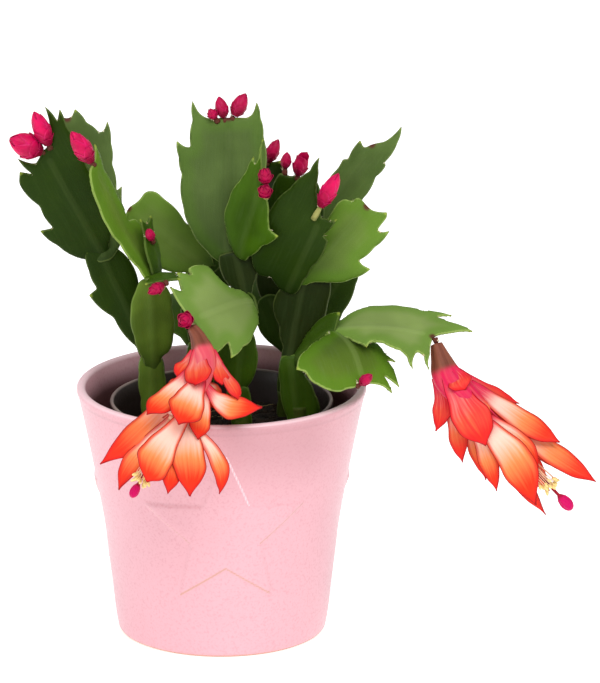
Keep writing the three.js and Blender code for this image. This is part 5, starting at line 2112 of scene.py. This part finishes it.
SEGMENTS: dict[str, dict[str, Segment]] = {
    "front_left": {
        "foot": Segment((-26, -5, 80), (-27, -6, 111), (0, -1, 0), rib=3, edge=1.5, neck=3,
            green=Green.MOSS, left=((6, 4), (14, 4.5), (24, 5), (31, 4))),
        "lower_left": Segment((-27, -5, 109), (-47, -2, 153), (0.13, -0.98, 0.13), bow=-2, left=((7, 3),
            (21, 6), (33, 11), (34, 7), (42, 7), (50, 5)), right=((6, 5), (14, 8), (16, 6), (28, 8),
            (38, 9), (47, 5))),
        "lower_front": Segment((-26, -7, 107), (-27, -15, 145), (0.11, -0.97, -0.2), bow=1, rib=1.8,
            green=Green.MOSS, fade=14, left=((4, 4), (14, 7), (25, 8), (33, 6), (38, 4)), right=((4, 3),
            (6, 6), (13, 8), (25, 8), (33, 7), (38, 4))),
        "upper_left": Segment((-46, -2, 152), (-67, -10, 194), (0.07, -0.99, -0.15), bow=1.5, left=((0, 8),
            (10, 13.6), (18.8, 16.7), (17.5, 11.6), (28, 12), (40, 14.8), (44, 12.4), (41, 8.5),
            (49, 10.7), (44, 5.5)), right=((1, 4), (8, 8), (21, 9.6), (35, 11.4), (45, 12.2), (52, 11.6),
            (59.2, 12.6), (55.3, 9.6), (62.4, 7.9), (52, 4.9), (49, 4))),
        "upper_back": Segment((-45, -2, 150), (-59, 14, 200), (0, -0.97, 0.22), bow=-1.5,
            green=Green.SATIN, scarred=True, pale_edge=0.2, left=((4, 6), (20, 8), (37, 7), (48, 5),
            (56, 3)), right=((4, 8.3), (13.5, 11), (19, 12.2), (24, 13.6), (22.6, 11), (33, 12.1),
            (41, 13.8), (49.4, 14.6), (46.2, 12.4), (46, 10.4), (50.9, 6.8), (57.1, 3.8), (54.6, 2))),
        "upper_side": Segment((-27, -15, 145), (-48, -22, 192), (0.81, -0.49, 0.32), bow=-2,
            green=Green.MOSS, pale_edge=0.5, fade=4, left=((6, 3), (18.6, 5), (28, 7.2), (37, 6.6),
            (46, 6), (51, 4)), right=((3.5, 5.5), (10, 9), (16.7, 11.8), (20.6, 10.4), (22.4, 5.8),
            (34, 6.2), (46, 5.2), (57.5, 4.8), (53, 2))),
        "small_side": Segment((-24, -14, 145), (-28, -12, 165), (0.91, -0.35, 0.2), green=Green.LEAF,
            left=((6, 5), (14, 6), (17, 4), (24, 5)), right=((6, 5), (12, 6), (16, 4), (23, 5))),
        "small_front": Segment((-23, -14, 145), (-20, -33, 149), (-0.15, 0.2, 1), bow=1, green=Green.LEAF,
            left=((6, 4.5), (12, 5.2), (14, 4), (21, 5)), right=((6, 5), (12, 8), (14, 6), (22, 9))),
    },
    "centre": {
        "foot": Segment((8, 2, 80), (6, 0, 98), (0, -1, 0), rib=3, edge=1.5, neck=3, green=Green.LEAF,
            left=((6, 4), (17, 4))),
        "lower": Segment((6, 0, 95), (8, -2, 121), (0, -1, -0.08), rib=1.6, green=Green.LEAF, left=((2, 5),
            (7, 10), (16, 11), (21, 8), (26, 5)), right=((2, 4), (11, 7), (19, 6), (25, 4))),
        "middle": Segment((8, -2, 119), (10, 0, 135), (-0.8, -0.6, 0.1), rib=1.6, left=((4, 6), (11, 8),
            (16, 5))),
        "neck": Segment((9, 0, 133), (5, 2, 151), (0.09, -0.99, 0.14), rib=1.6, green=Green.DARK,
            left=((4, 4), (12, 7), (18, 6)), right=((3, 4), (8, 7), (15, 7))),
        "crown": Segment((2, 3, 148), (3, 8, 202), (0, -1, 0.09), bow=2.5, cup=-0.6, green=Green.SATIN,
            scarred=True, pale_edge=0.35, fade=24, groove=0.4, left=((2.5, 8), (11, 14), (19, 16.8),
            (32, 17.6), (38.5, 18.9), (44.7, 19.8), (42.6, 16.8), (42.4, 14.4), (52.8, 13.8), (60.1, 14),
            (55.4, 11.4), (53.5, 8)), right=((2, 7), (16.7, 13.4), (32.3, 14.3), (47, 13.5), (54.1, 12.2),
            (60.2, 10.6), (56, 9.4), (54.2, 7.5))),
        "crown_front": Segment((8, -1, 150), (16, -13, 182), (-0.42, -0.9, -0.15), bow=1.5,
            green=Green.BRIGHT, pale_edge=0.35, left=((0.8, 4.5), (8.8, 8.7), (16.5, 11.1), (22, 10.6),
            (31.3, 8.8), (37, 7.4), (43.1, 6.6), (40, 5), (43, 4.6), (50.9, 5.6), (41.5, 2.4)),
            right=((0.6, 3), (8.7, 7.2), (16.7, 12.6), (17.6, 8.4), (23, 6.6), (30, 3.8))),
        "nodding": Segment((12, -2, 131), (-11, -38, 134), (0.71, -0.32, 0.63), bow=5, edge=0.55,
            green=Green.PALE, pale_edge=0.6, groove=0.15, left=((5, 6), (11, 10.5), (16.5, 12.8),
            (21.5, 15.5), (27.9, 16.9), (36.2, 19.3), (33.6, 13.2), (38.2, 14.8), (42.9, 15.6),
            (41.7, 8.8), (42.2, 3.4)), right=((4, 4), (12, 6), (17, 8), (19.3, 12.1), (20.7, 17.9),
            (25.7, 19.3), (32, 19.2), (32.1, 15.9), (37.3, 19.6), (39.2, 15), (39.4, 11.8), (42.8, 15.8),
            (43.4, 10), (43.3, 5.5))),
    },
    "right": {
        "foot": Segment((30, -3, 80), (26, -3, 111), (0, -1, 0), rib=3, edge=1.2, neck=3, green=Green.LEAF,
            left=((6, 4), (20, 5), (31, 3)), right=((2, 4), (6, 9), (14, 8), (22, 5), (31, 3))),
        "lower": Segment((26, -3, 109), (32, -2, 142), (0, -1, 0.03), bow=-1, rib=1.8, green=Green.DARK,
            left=((4, 3), (12, 6), (20, 10), (27, 8)), right=((2, 3), (9, 5), (19, 11), (25, 11), (34, 10),
            (33, 5))),
        "upper_front": Segment((26, -3, 137), (38.5, -12.5, 167.5), (-0.3, -0.93, -0.21), bow=1.5, fade=14,
            left=((1, 8), (-1, 12.6), (3.3, 17.1), (15.4, 20), (27.7, 19.2), (39.3, 15.9), (48.5, 12),
            (54.9, 11), (49.4, 8.6), (43.9, 6.8), (38.6, 3.1)), right=((1, 4), (7, 4), (13.2, 4.4),
            (25.7, 6.3), (27.5, 6.1), (28.6, 3.4), (37.1, 5.5), (34.8, 3.4), (35.4, 2))),
        "upper_right": Segment((30, -2, 139), (56, -4, 170), (-0.19, -0.98, 0.1), bow=1.5,
            green=Green.FRESH, scarred=True, pale_edge=0.5, fade=26, groove=0.25, left=((6, 3),
            (18.5, 5.5), (28.4, 8.4), (34, 9.5), (37, 8.4), (38, 5.6), (40.5, 5.2), (41, 3.2)),
            right=((3, 3), (6.4, 6.4), (9.5, 10), (15.5, 14.2), (23.4, 17), (22.4, 13.6), (22.8, 11.4),
            (30.6, 12.6), (39.3, 12.7), (36.6, 10.6), (36.5, 8.9), (42.4, 8.5), (43.9, 7.2), (42, 5),
            (40.6, 2.4))),
        "side": Segment((29, -4, 109), (44, -14, 124), (-0.7, -0.62, 0.34), rib=1.6, green=Green.LEAF,
            left=((4, 4), (12, 7), (19, 8), (28, 5)), right=((3, 5), (11, 7), (19, 6))),
        "long_right": Segment((42, -12, 122), (81, -26, 124), (-0.07, -0.31, 0.95), bow=2.5, edge=0.5,
            green=Green.PALE, scarred=True, pale_edge=0.6, left=((2, 8), (5, 13), (10, 15.5), (16, 15.6),
            (25, 16.4), (33, 15), (44.2, 16.4), (39, 13.2), (44, 12.3), (53.8, 10.8), (47, 6.6), (43, 3)),
            right=((3, 3), (9.5, 5.5), (16, 10), (19, 12.5), (19.2, 8), (24, 8.3), (32, 11.6), (36, 15.4),
            (40, 21.4), (38.3, 13.6), (38.4, 10.4), (41.6, 12.2), (45.6, 19.4), (43.5, 10.7), (42, 5.6))),
        "drooping": Segment((43, -13, 122), (54, -36, 109), (0.31, -0.4, 0.86), bow=4, edge=0.55,
            green=Green.MOSS, scarred=True, pale_edge=0.6, fade=30, left=((4, 6), (11, 12.5), (17.3, 13.7),
            (21.3, 17), (20.2, 13.2), (25.9, 15.2), (30.9, 15.6), (28.4, 12.6), (26.4, 10), (32.8, 12),
            (30, 8.6), (29, 4.6)), right=((2, 3), (7, 10.3), (12.8, 18.4), (18, 24.6), (22, 26.7),
            (23, 23), (26.5, 22.2), (29.3, 17.7), (31, 10), (30, 4))),
    },
    "back_left": {
        "foot": Segment((-8, 24, 80), (-9, 24, 109), (0, -1, 0), rib=3, edge=1.5, neck=3, green=Green.LEAF,
            left=((6, 4), (20, 5), (28, 4))),
        "lower": Segment((-9, 24, 107), (-5, 21, 140), (0.1, -0.98, 0.1), left=((4, 5), (14, 9), (16, 7),
            (26, 10), (33, 5)), right=((4, 5), (12, 9), (14, 7), (25, 9), (33, 5))),
        "upper_left": Segment((-6, 21, 139), (-36, 12, 165), (0.26, -0.96, -0.03), bow=1.5,
            green=Green.FRESH, scarred=True, pale_edge=0.4, left=((6, 6.8), (13, 10.6), (23, 11.1),
            (31.6, 8), (39, 4)), right=((9.4, 6.9), (19.1, 9), (31.5, 11.3), (36.1, 11.8), (39.4, 9.4),
            (39, 4.6))),
        "upper_back": Segment((-5, 22, 138), (2, 42, 168), (0.3, 0.8, -0.5), bow=1.5, green=Green.LEAF,
            left=((5, 6), (14, 12), (16, 9), (27, 13), (29, 10), (41, 9), (38, 4)), right=((5, 6),
            (13, 12), (15, 9), (25, 13), (27, 10), (42, 8), (38, 4))),
        "low_back": Segment((-9, 25, 106), (-16, 58, 118), (0.2, 0.35, -0.9), bow=-5, green=Green.LEAF,
            left=((5, 6), (14, 12), (16, 9), (26, 13), (28, 10), (40, 9), (36, 4)), right=((5, 6),
            (13, 11), (15, 9), (26, 12), (28, 9), (41, 8), (36, 4))),
    },
    "back_right": {
        "foot": Segment((25, 16, 80), (29, 20, 109), (0, -1, 0), rib=3, edge=1.5, neck=3, left=((6, 4),
            (20, 5), (28, 4))),
        "low_front": Segment((27, 18, 105), (18, 15, 130), (0.1, -0.98, 0.1), left=((3, 4), (7.9, 7),
            (13.5, 8.7), (19, 7.9), (26, 4)), right=((3, 4), (12, 6), (24, 4))),
        "lower": Segment((29, 20, 107), (26, 20, 148), (0, -0.97, 0.1), green=Green.DARK, left=((5, 5),
            (14, 12), (16, 10), (28, 14), (40, 7)), right=((5, 5), (12, 8), (14, 6), (28, 9), (40, 6))),
        "side": Segment((30, 20, 107), (48, 25, 138), (0, -0.99, 0.15), bow=1, left=((6, 6), (18, 9),
            (34, 6)), right=((4, 5), (13, 8), (20, 8), (32, 7), (38, 5))),
        "upper_right": Segment((27, 20, 146), (58, 21, 188), (-0.1, -0.99, 0.11), bow=1.5,
            green=Green.SATIN, scarred=True, pale_edge=0.25, fade=9, left=((8, 4), (26, 4), (37, 4.8),
            (41, 5.4), (42, 3.8), (50.8, 4.5), (49, 1.5)), right=((8, 7), (20, 10), (33, 10), (43, 8.8),
            (49, 9.3), (49.4, 8.2), (58.9, 7.5), (64.6, 4.9), (56, 3.4))),
        "upper_front": Segment((28, 18, 146), (29.5, 8, 179), (0, -0.98, -0.18), bow=1, left=((4, 8),
            (17, 12), (27, 10), (35.5, 7), (34, 3)), right=((5, 8), (17, 11), (27, 9), (33, 7), (33, 3))),
        "narrow": Segment((26, 20, 146), (19, 16, 182), (-0.5, -0.85, 0.1), left=((6, 5), (20, 7), (22, 5),
            (38, 5)), right=((6, 5), (18, 7), (20, 5), (38, 5))),
        "low_back": Segment((28, 21, 108), (14, 54, 127), (-0.2, 0.4, -0.9), bow=-5, green=Green.LEAF,
            left=((5, 6), (14, 12), (16, 9), (27, 13), (29, 10), (42, 9), (38, 4)), right=((5, 6),
            (13, 11), (15, 9), (26, 12), (28, 9), (41, 8), (38, 4))),
        "upper_back": Segment((27, 21, 145), (30, 48, 160), (0.1, 0.5, -0.8), bow=-2, green=Green.LEAF,
            left=((5, 6), (13, 10), (15, 8), (25, 10), (35, 7), (31, 3)), right=((5, 6), (12, 9), (14, 7),
            (24, 10), (34, 7), (31, 3))),
    },
}

TRUNKS = {
    "front_left": (-26, -5), "centre": (8, 2), "right": (30, -3), "back_left": (-8, 24),
    "back_right": (25, 16),
}

BUDS = [
    Bud("bud_left_outer", "front_left", (-68, -10, 193.2), (-80, -15, 199.6), 9.2),
    Bud("bud_left_upper", "front_left", (-65.2, -11.2, 196.2), (-70.5, -16, 210.5), 6.6, stalk=2),
    Bud("bud_left_side", "front_left", (-48.6, -22.4, 192.4), (-56, -27, 205.5), 6.8, stalk=2),
    Bud("bud_small_side", "front_left", (-26, -15, 159.6), (-27.5, -20, 165.4), 3.4, dark=True),
    Bud("bud_small_front", "front_left", (-21, -35, 148), (-27, -41, 146), 3.8,
        form=BudForm.KNOBBLY, dark=True),
    Bud("bud_crown_left", "centre", (-1.8, 7, 201.4), (-4.4, 5, 206), 3.4, form=BudForm.KNOBBLY, dark=True),
    Bud("bud_crown_middle", "centre", (1.4, 8, 201.4), (-0.8, 9, 210), 4.8, dark=True),
    Bud("bud_crown_right", "centre", (4.8, 8.2, 202), (9.6, 10, 211), 5.8, dark=True),
    Bud("bud_centre_front", "centre", (17.4, -14, 181.6), (16.8, -18, 188.6), 4.6,
        form=BudForm.KNOBBLY, dark=True),
    Bud("bud_centre_low", "centre", (17.2, -14.5, 177.2), (16.8, -21, 182), 4.4,
        form=BudForm.KNOBBLY, stalk=2.5, dark=True),
    Bud("bud_nodding", "centre", (-11.6, -39.4, 134.8), (-14.5, -46, 137.4), 5.2,
        form=BudForm.KNOBBLY, dark=True),
    Bud("bud_back_narrow", "back_right", (17.8, 15.6, 182), (22, 16, 191.3), 4.9, dark=True),
    Bud("bud_back_dark", "back_right", (24.6, 8.4, 181.2), (25.4, 8, 188.3), 3.9, stalk=2, dark=True),
    Bud("bud_back_front", "back_right", (29.4, 8, 178.6), (31.6, 6, 188), 5.4,
        form=BudForm.FORKED, dark=True),
    Bud("bud_right_front", "right", (38, -14, 172.5), (45, -18, 186.9), 6, stalk=6),
    Bud("bud_drooping", "right", (52.8, -37.9, 109), (57.7, -40.4, 113.8), 3.9, dark=True),
]

FLOWERS = [
    Flower(
        name="left", stem="centre", core=43, blush=0.75, swell=1, short=9, stigma=(-33, -80, 77.6),
        spine=((-11, -40, 133), (-8, -44, 129), (-6, -51, 122), (-10, -60, 114), (-18, -70, 104)),
        tube=((0, 1.9), (6, 3.1), (13, 4.6), (22, 5), (43, 4.2)),
        petals=(
            Petal(12, (-9, -68, 118), 11), Petal(11, (-16, -58, 118), 8), Petal(12, (1, -58, 115), 8),
            Petal(13, (7, -61, 110), 6, (3, -2, -2)), Petal(12, (-11, -38, 111), 9),
            Petal(23, (-27, -76, 109), 11), Petal(21, (-45, -68, 87), 12), Petal(25, (-15, -82, 107), 14),
            Petal(26, (16, -64, 108), 9.5, (-2, 0, -9)), Petal(25, (-8, -72, 98), 11),
            Petal(23, (-2, -40, 100), 11), Petal(22, (-23, -42, 102), 11),
            Petal(41, (-27, -90, 87), 15, (-4, -6, 0)), Petal(40, (-19, -86, 81), 10),
            Petal(39, (-11, -83, 79), 15, (4, 0, 3)), Petal(41, (0, -74, 77), 7, (16, 0, -4)),
            Petal(41, (-38, -75, 79), 8, (-4, 4, 0)), Petal(40, (-15, -58, 80), 12),
            Petal(40, (-31, -58, 84), 12),
        ),
    ),
    Flower(
        name="right", stem="right", core=36, blush=1.0, swell=1.3, short=14, stigma=(134, -45, 61.5),
        spine=((82, -27, 123), (84, -30, 117), (87, -33, 110), (95, -37, 102), (109, -40, 88)),
        tube=((0, 2), (6, 3.7), (14, 5.9), (22, 5.8), (36, 4.4)),
        petals=(
            Petal(12, (93, -41, 108), 10), Petal(13, (82, -36, 90), 8, (4, 0, 0)),
            Petal(14, (101, -48, 88), 15), Petal(14, (114, -32, 100), 6), Petal(14, (94, -16, 86), 11),
            Petal(14, (108, -16, 94), 9), Petal(18, (92, -41, 79), 8), Petal(24, (101, -38, 71), 8),
            Petal(22, (129, -44, 88), 11), Petal(23, (115, -18, 76), 11), Petal(22, (100, -20, 75), 9),
            Petal(30, (119.5, -58, 67.5), 14, (3, 0, 5)), Petal(30, (105, -46, 69), 8),
            Petal(31, (120.5, -50, 76), 9, (5, 0, 5)), Petal(31, (143, -46, 73), 10),
            Petal(31, (124, -38, 57), 8), Petal(31, (126, -24, 62), 11), Petal(31, (138, -26, 72), 9),
        ),
    ),
]


# The studio


@dataclass
class Studio:
    """The pale floor, the soft lights and the camera."""

    camera_place: Place = (0.0303, -2.39244, 0.82358)
    camera_tilt: float = math.radians(73.5)
    lens: float = 341.377
    sensor: float = 36
    floor_side: float = 14
    floor_shade: Shade = Shade(243, 243, 243)
    floor_glow: float = 0.52
    sky: float = 0.5
    sun: float = 1.7
    sun_softness: float = math.radians(40)
    sun_way: Place = (0.05, -0.75, 1.0)
    lit_spot: Place = (0, 0, 0.1)

    def build(self) -> None:
        """Sets up the floor, the lights and the camera."""
        self.add_floor()
        self.add_sky()
        self.add_sun()
        self.add_panel("key_panel", (0.9, -1.3, 1.5), 0.7, 8)
        self.add_panel("left_panel", (-1.5, -0.9, 0.8), 0.8, 6)
        self.add_camera()

    @staticmethod
    def add(name: str, data: bpy.types.ID, towards: Place | None = None) -> Object:
        """Puts something in the scene.

        Args:
            name: The object's name.
            data: The mesh, lamp or camera.
            towards: The direction that its back turns to.

        Returns:
            The new object.
        """
        made = bpy.data.objects.new(name, data)
        if towards is not None:
            made.rotation_euler = Vector(towards).to_track_quat("Z", "Y").to_euler()
        bpy.context.scene.collection.objects.link(made)
        return made

    def add_floor(self) -> None:
        """Lays the floor."""
        bm = bmesh.new()
        bmesh.ops.create_grid(bm, x_segments=2, y_segments=2, size=self.floor_side / 2)
        mesh = bpy.data.meshes.new("studio_floor")
        bm.to_mesh(mesh)
        bm.free()
        mesh.materials.append(Surface("studio_floor_finish").complete({
            "Base Color": self.floor_shade, "Emission Color": Shade(255, 255, 255),
            "Emission Strength": self.floor_glow, "Roughness": 0.9, "Specular IOR Level": 0.1,
        }))
        self.add("studio_floor", mesh)

    def add_sky(self) -> None:
        """Surrounds the object with even white light."""
        world = bpy.data.worlds.new("studio_sky")
        world.use_nodes = True
        background = world.node_tree.nodes["Background"]
        background.inputs["Color"].default_value = (1, 1, 1, 1)
        background.inputs["Strength"].default_value = self.sky
        bpy.context.scene.world = world

    def add_sun(self) -> None:
        """Adds the broad main light, from the front and above."""
        lamp = bpy.data.lights.new("main_light", "SUN")
        lamp.energy = self.sun
        lamp.angle = self.sun_softness
        self.add("main_light", lamp, self.sun_way)

    def add_panel(self, name: str, place: Place, side: float, watts: float) -> None:
        """Adds a square soft box that faces the plant.

        Args:
            name: The lamp's name.
            place: Its place in metres.
            side: Its side in metres.
            watts: Its power.
        """
        lamp = bpy.data.lights.new(name, "AREA")
        lamp.shape, lamp.size, lamp.energy = "SQUARE", side, watts
        self.add(name, lamp, Vector(place) - Vector(self.lit_spot)).location = place

    def add_camera(self) -> None:
        """Sets the camera where the photograph was taken from."""
        lens = bpy.data.cameras.new("view")
        lens.lens, lens.sensor_width, lens.sensor_fit = self.lens, self.sensor, "AUTO"
        made = self.add("view", lens)
        made.location = self.camera_place
        made.rotation_euler = (self.camera_tilt, 0, 0)
        bpy.context.scene.camera = made


def main() -> None:
    """Builds every piece in order and notes the sizes."""
    logging.basicConfig(level=logging.INFO, format="%(name)s %(message)s")
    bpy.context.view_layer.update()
    Studio().build()
    CeramicPot().build(PinkGlaze().material())
    NurseryPot().build(NurseryPlastic().material())
    SoilBed().build(PottingSoil().material())
    flesh, wool = CactusFlesh().material(), AreoleWool().material()
    for name, segments in SEGMENTS.items():
        seats = [piece.cushion() for piece in (*BUDS, *FLOWERS) if piece.stem == name]
        Stem(name, TRUNKS[name], list(segments.values()), seats).build(flesh, wool)
    skin = BudSkin().material()
    for bud in BUDS:
        bud.build(skin)
    petals, threads, style = PetalSkin().material(), HeadedThreads().material(), PistilMagenta().material()
    for flower in FLOWERS:
        flower.build_petals(petals)
        flower.build_stamens(threads)
        flower.build_pistil(style)
    bpy.context.scene.view_settings.view_transform = "Standard"


if __name__ == "__main__":
    main()
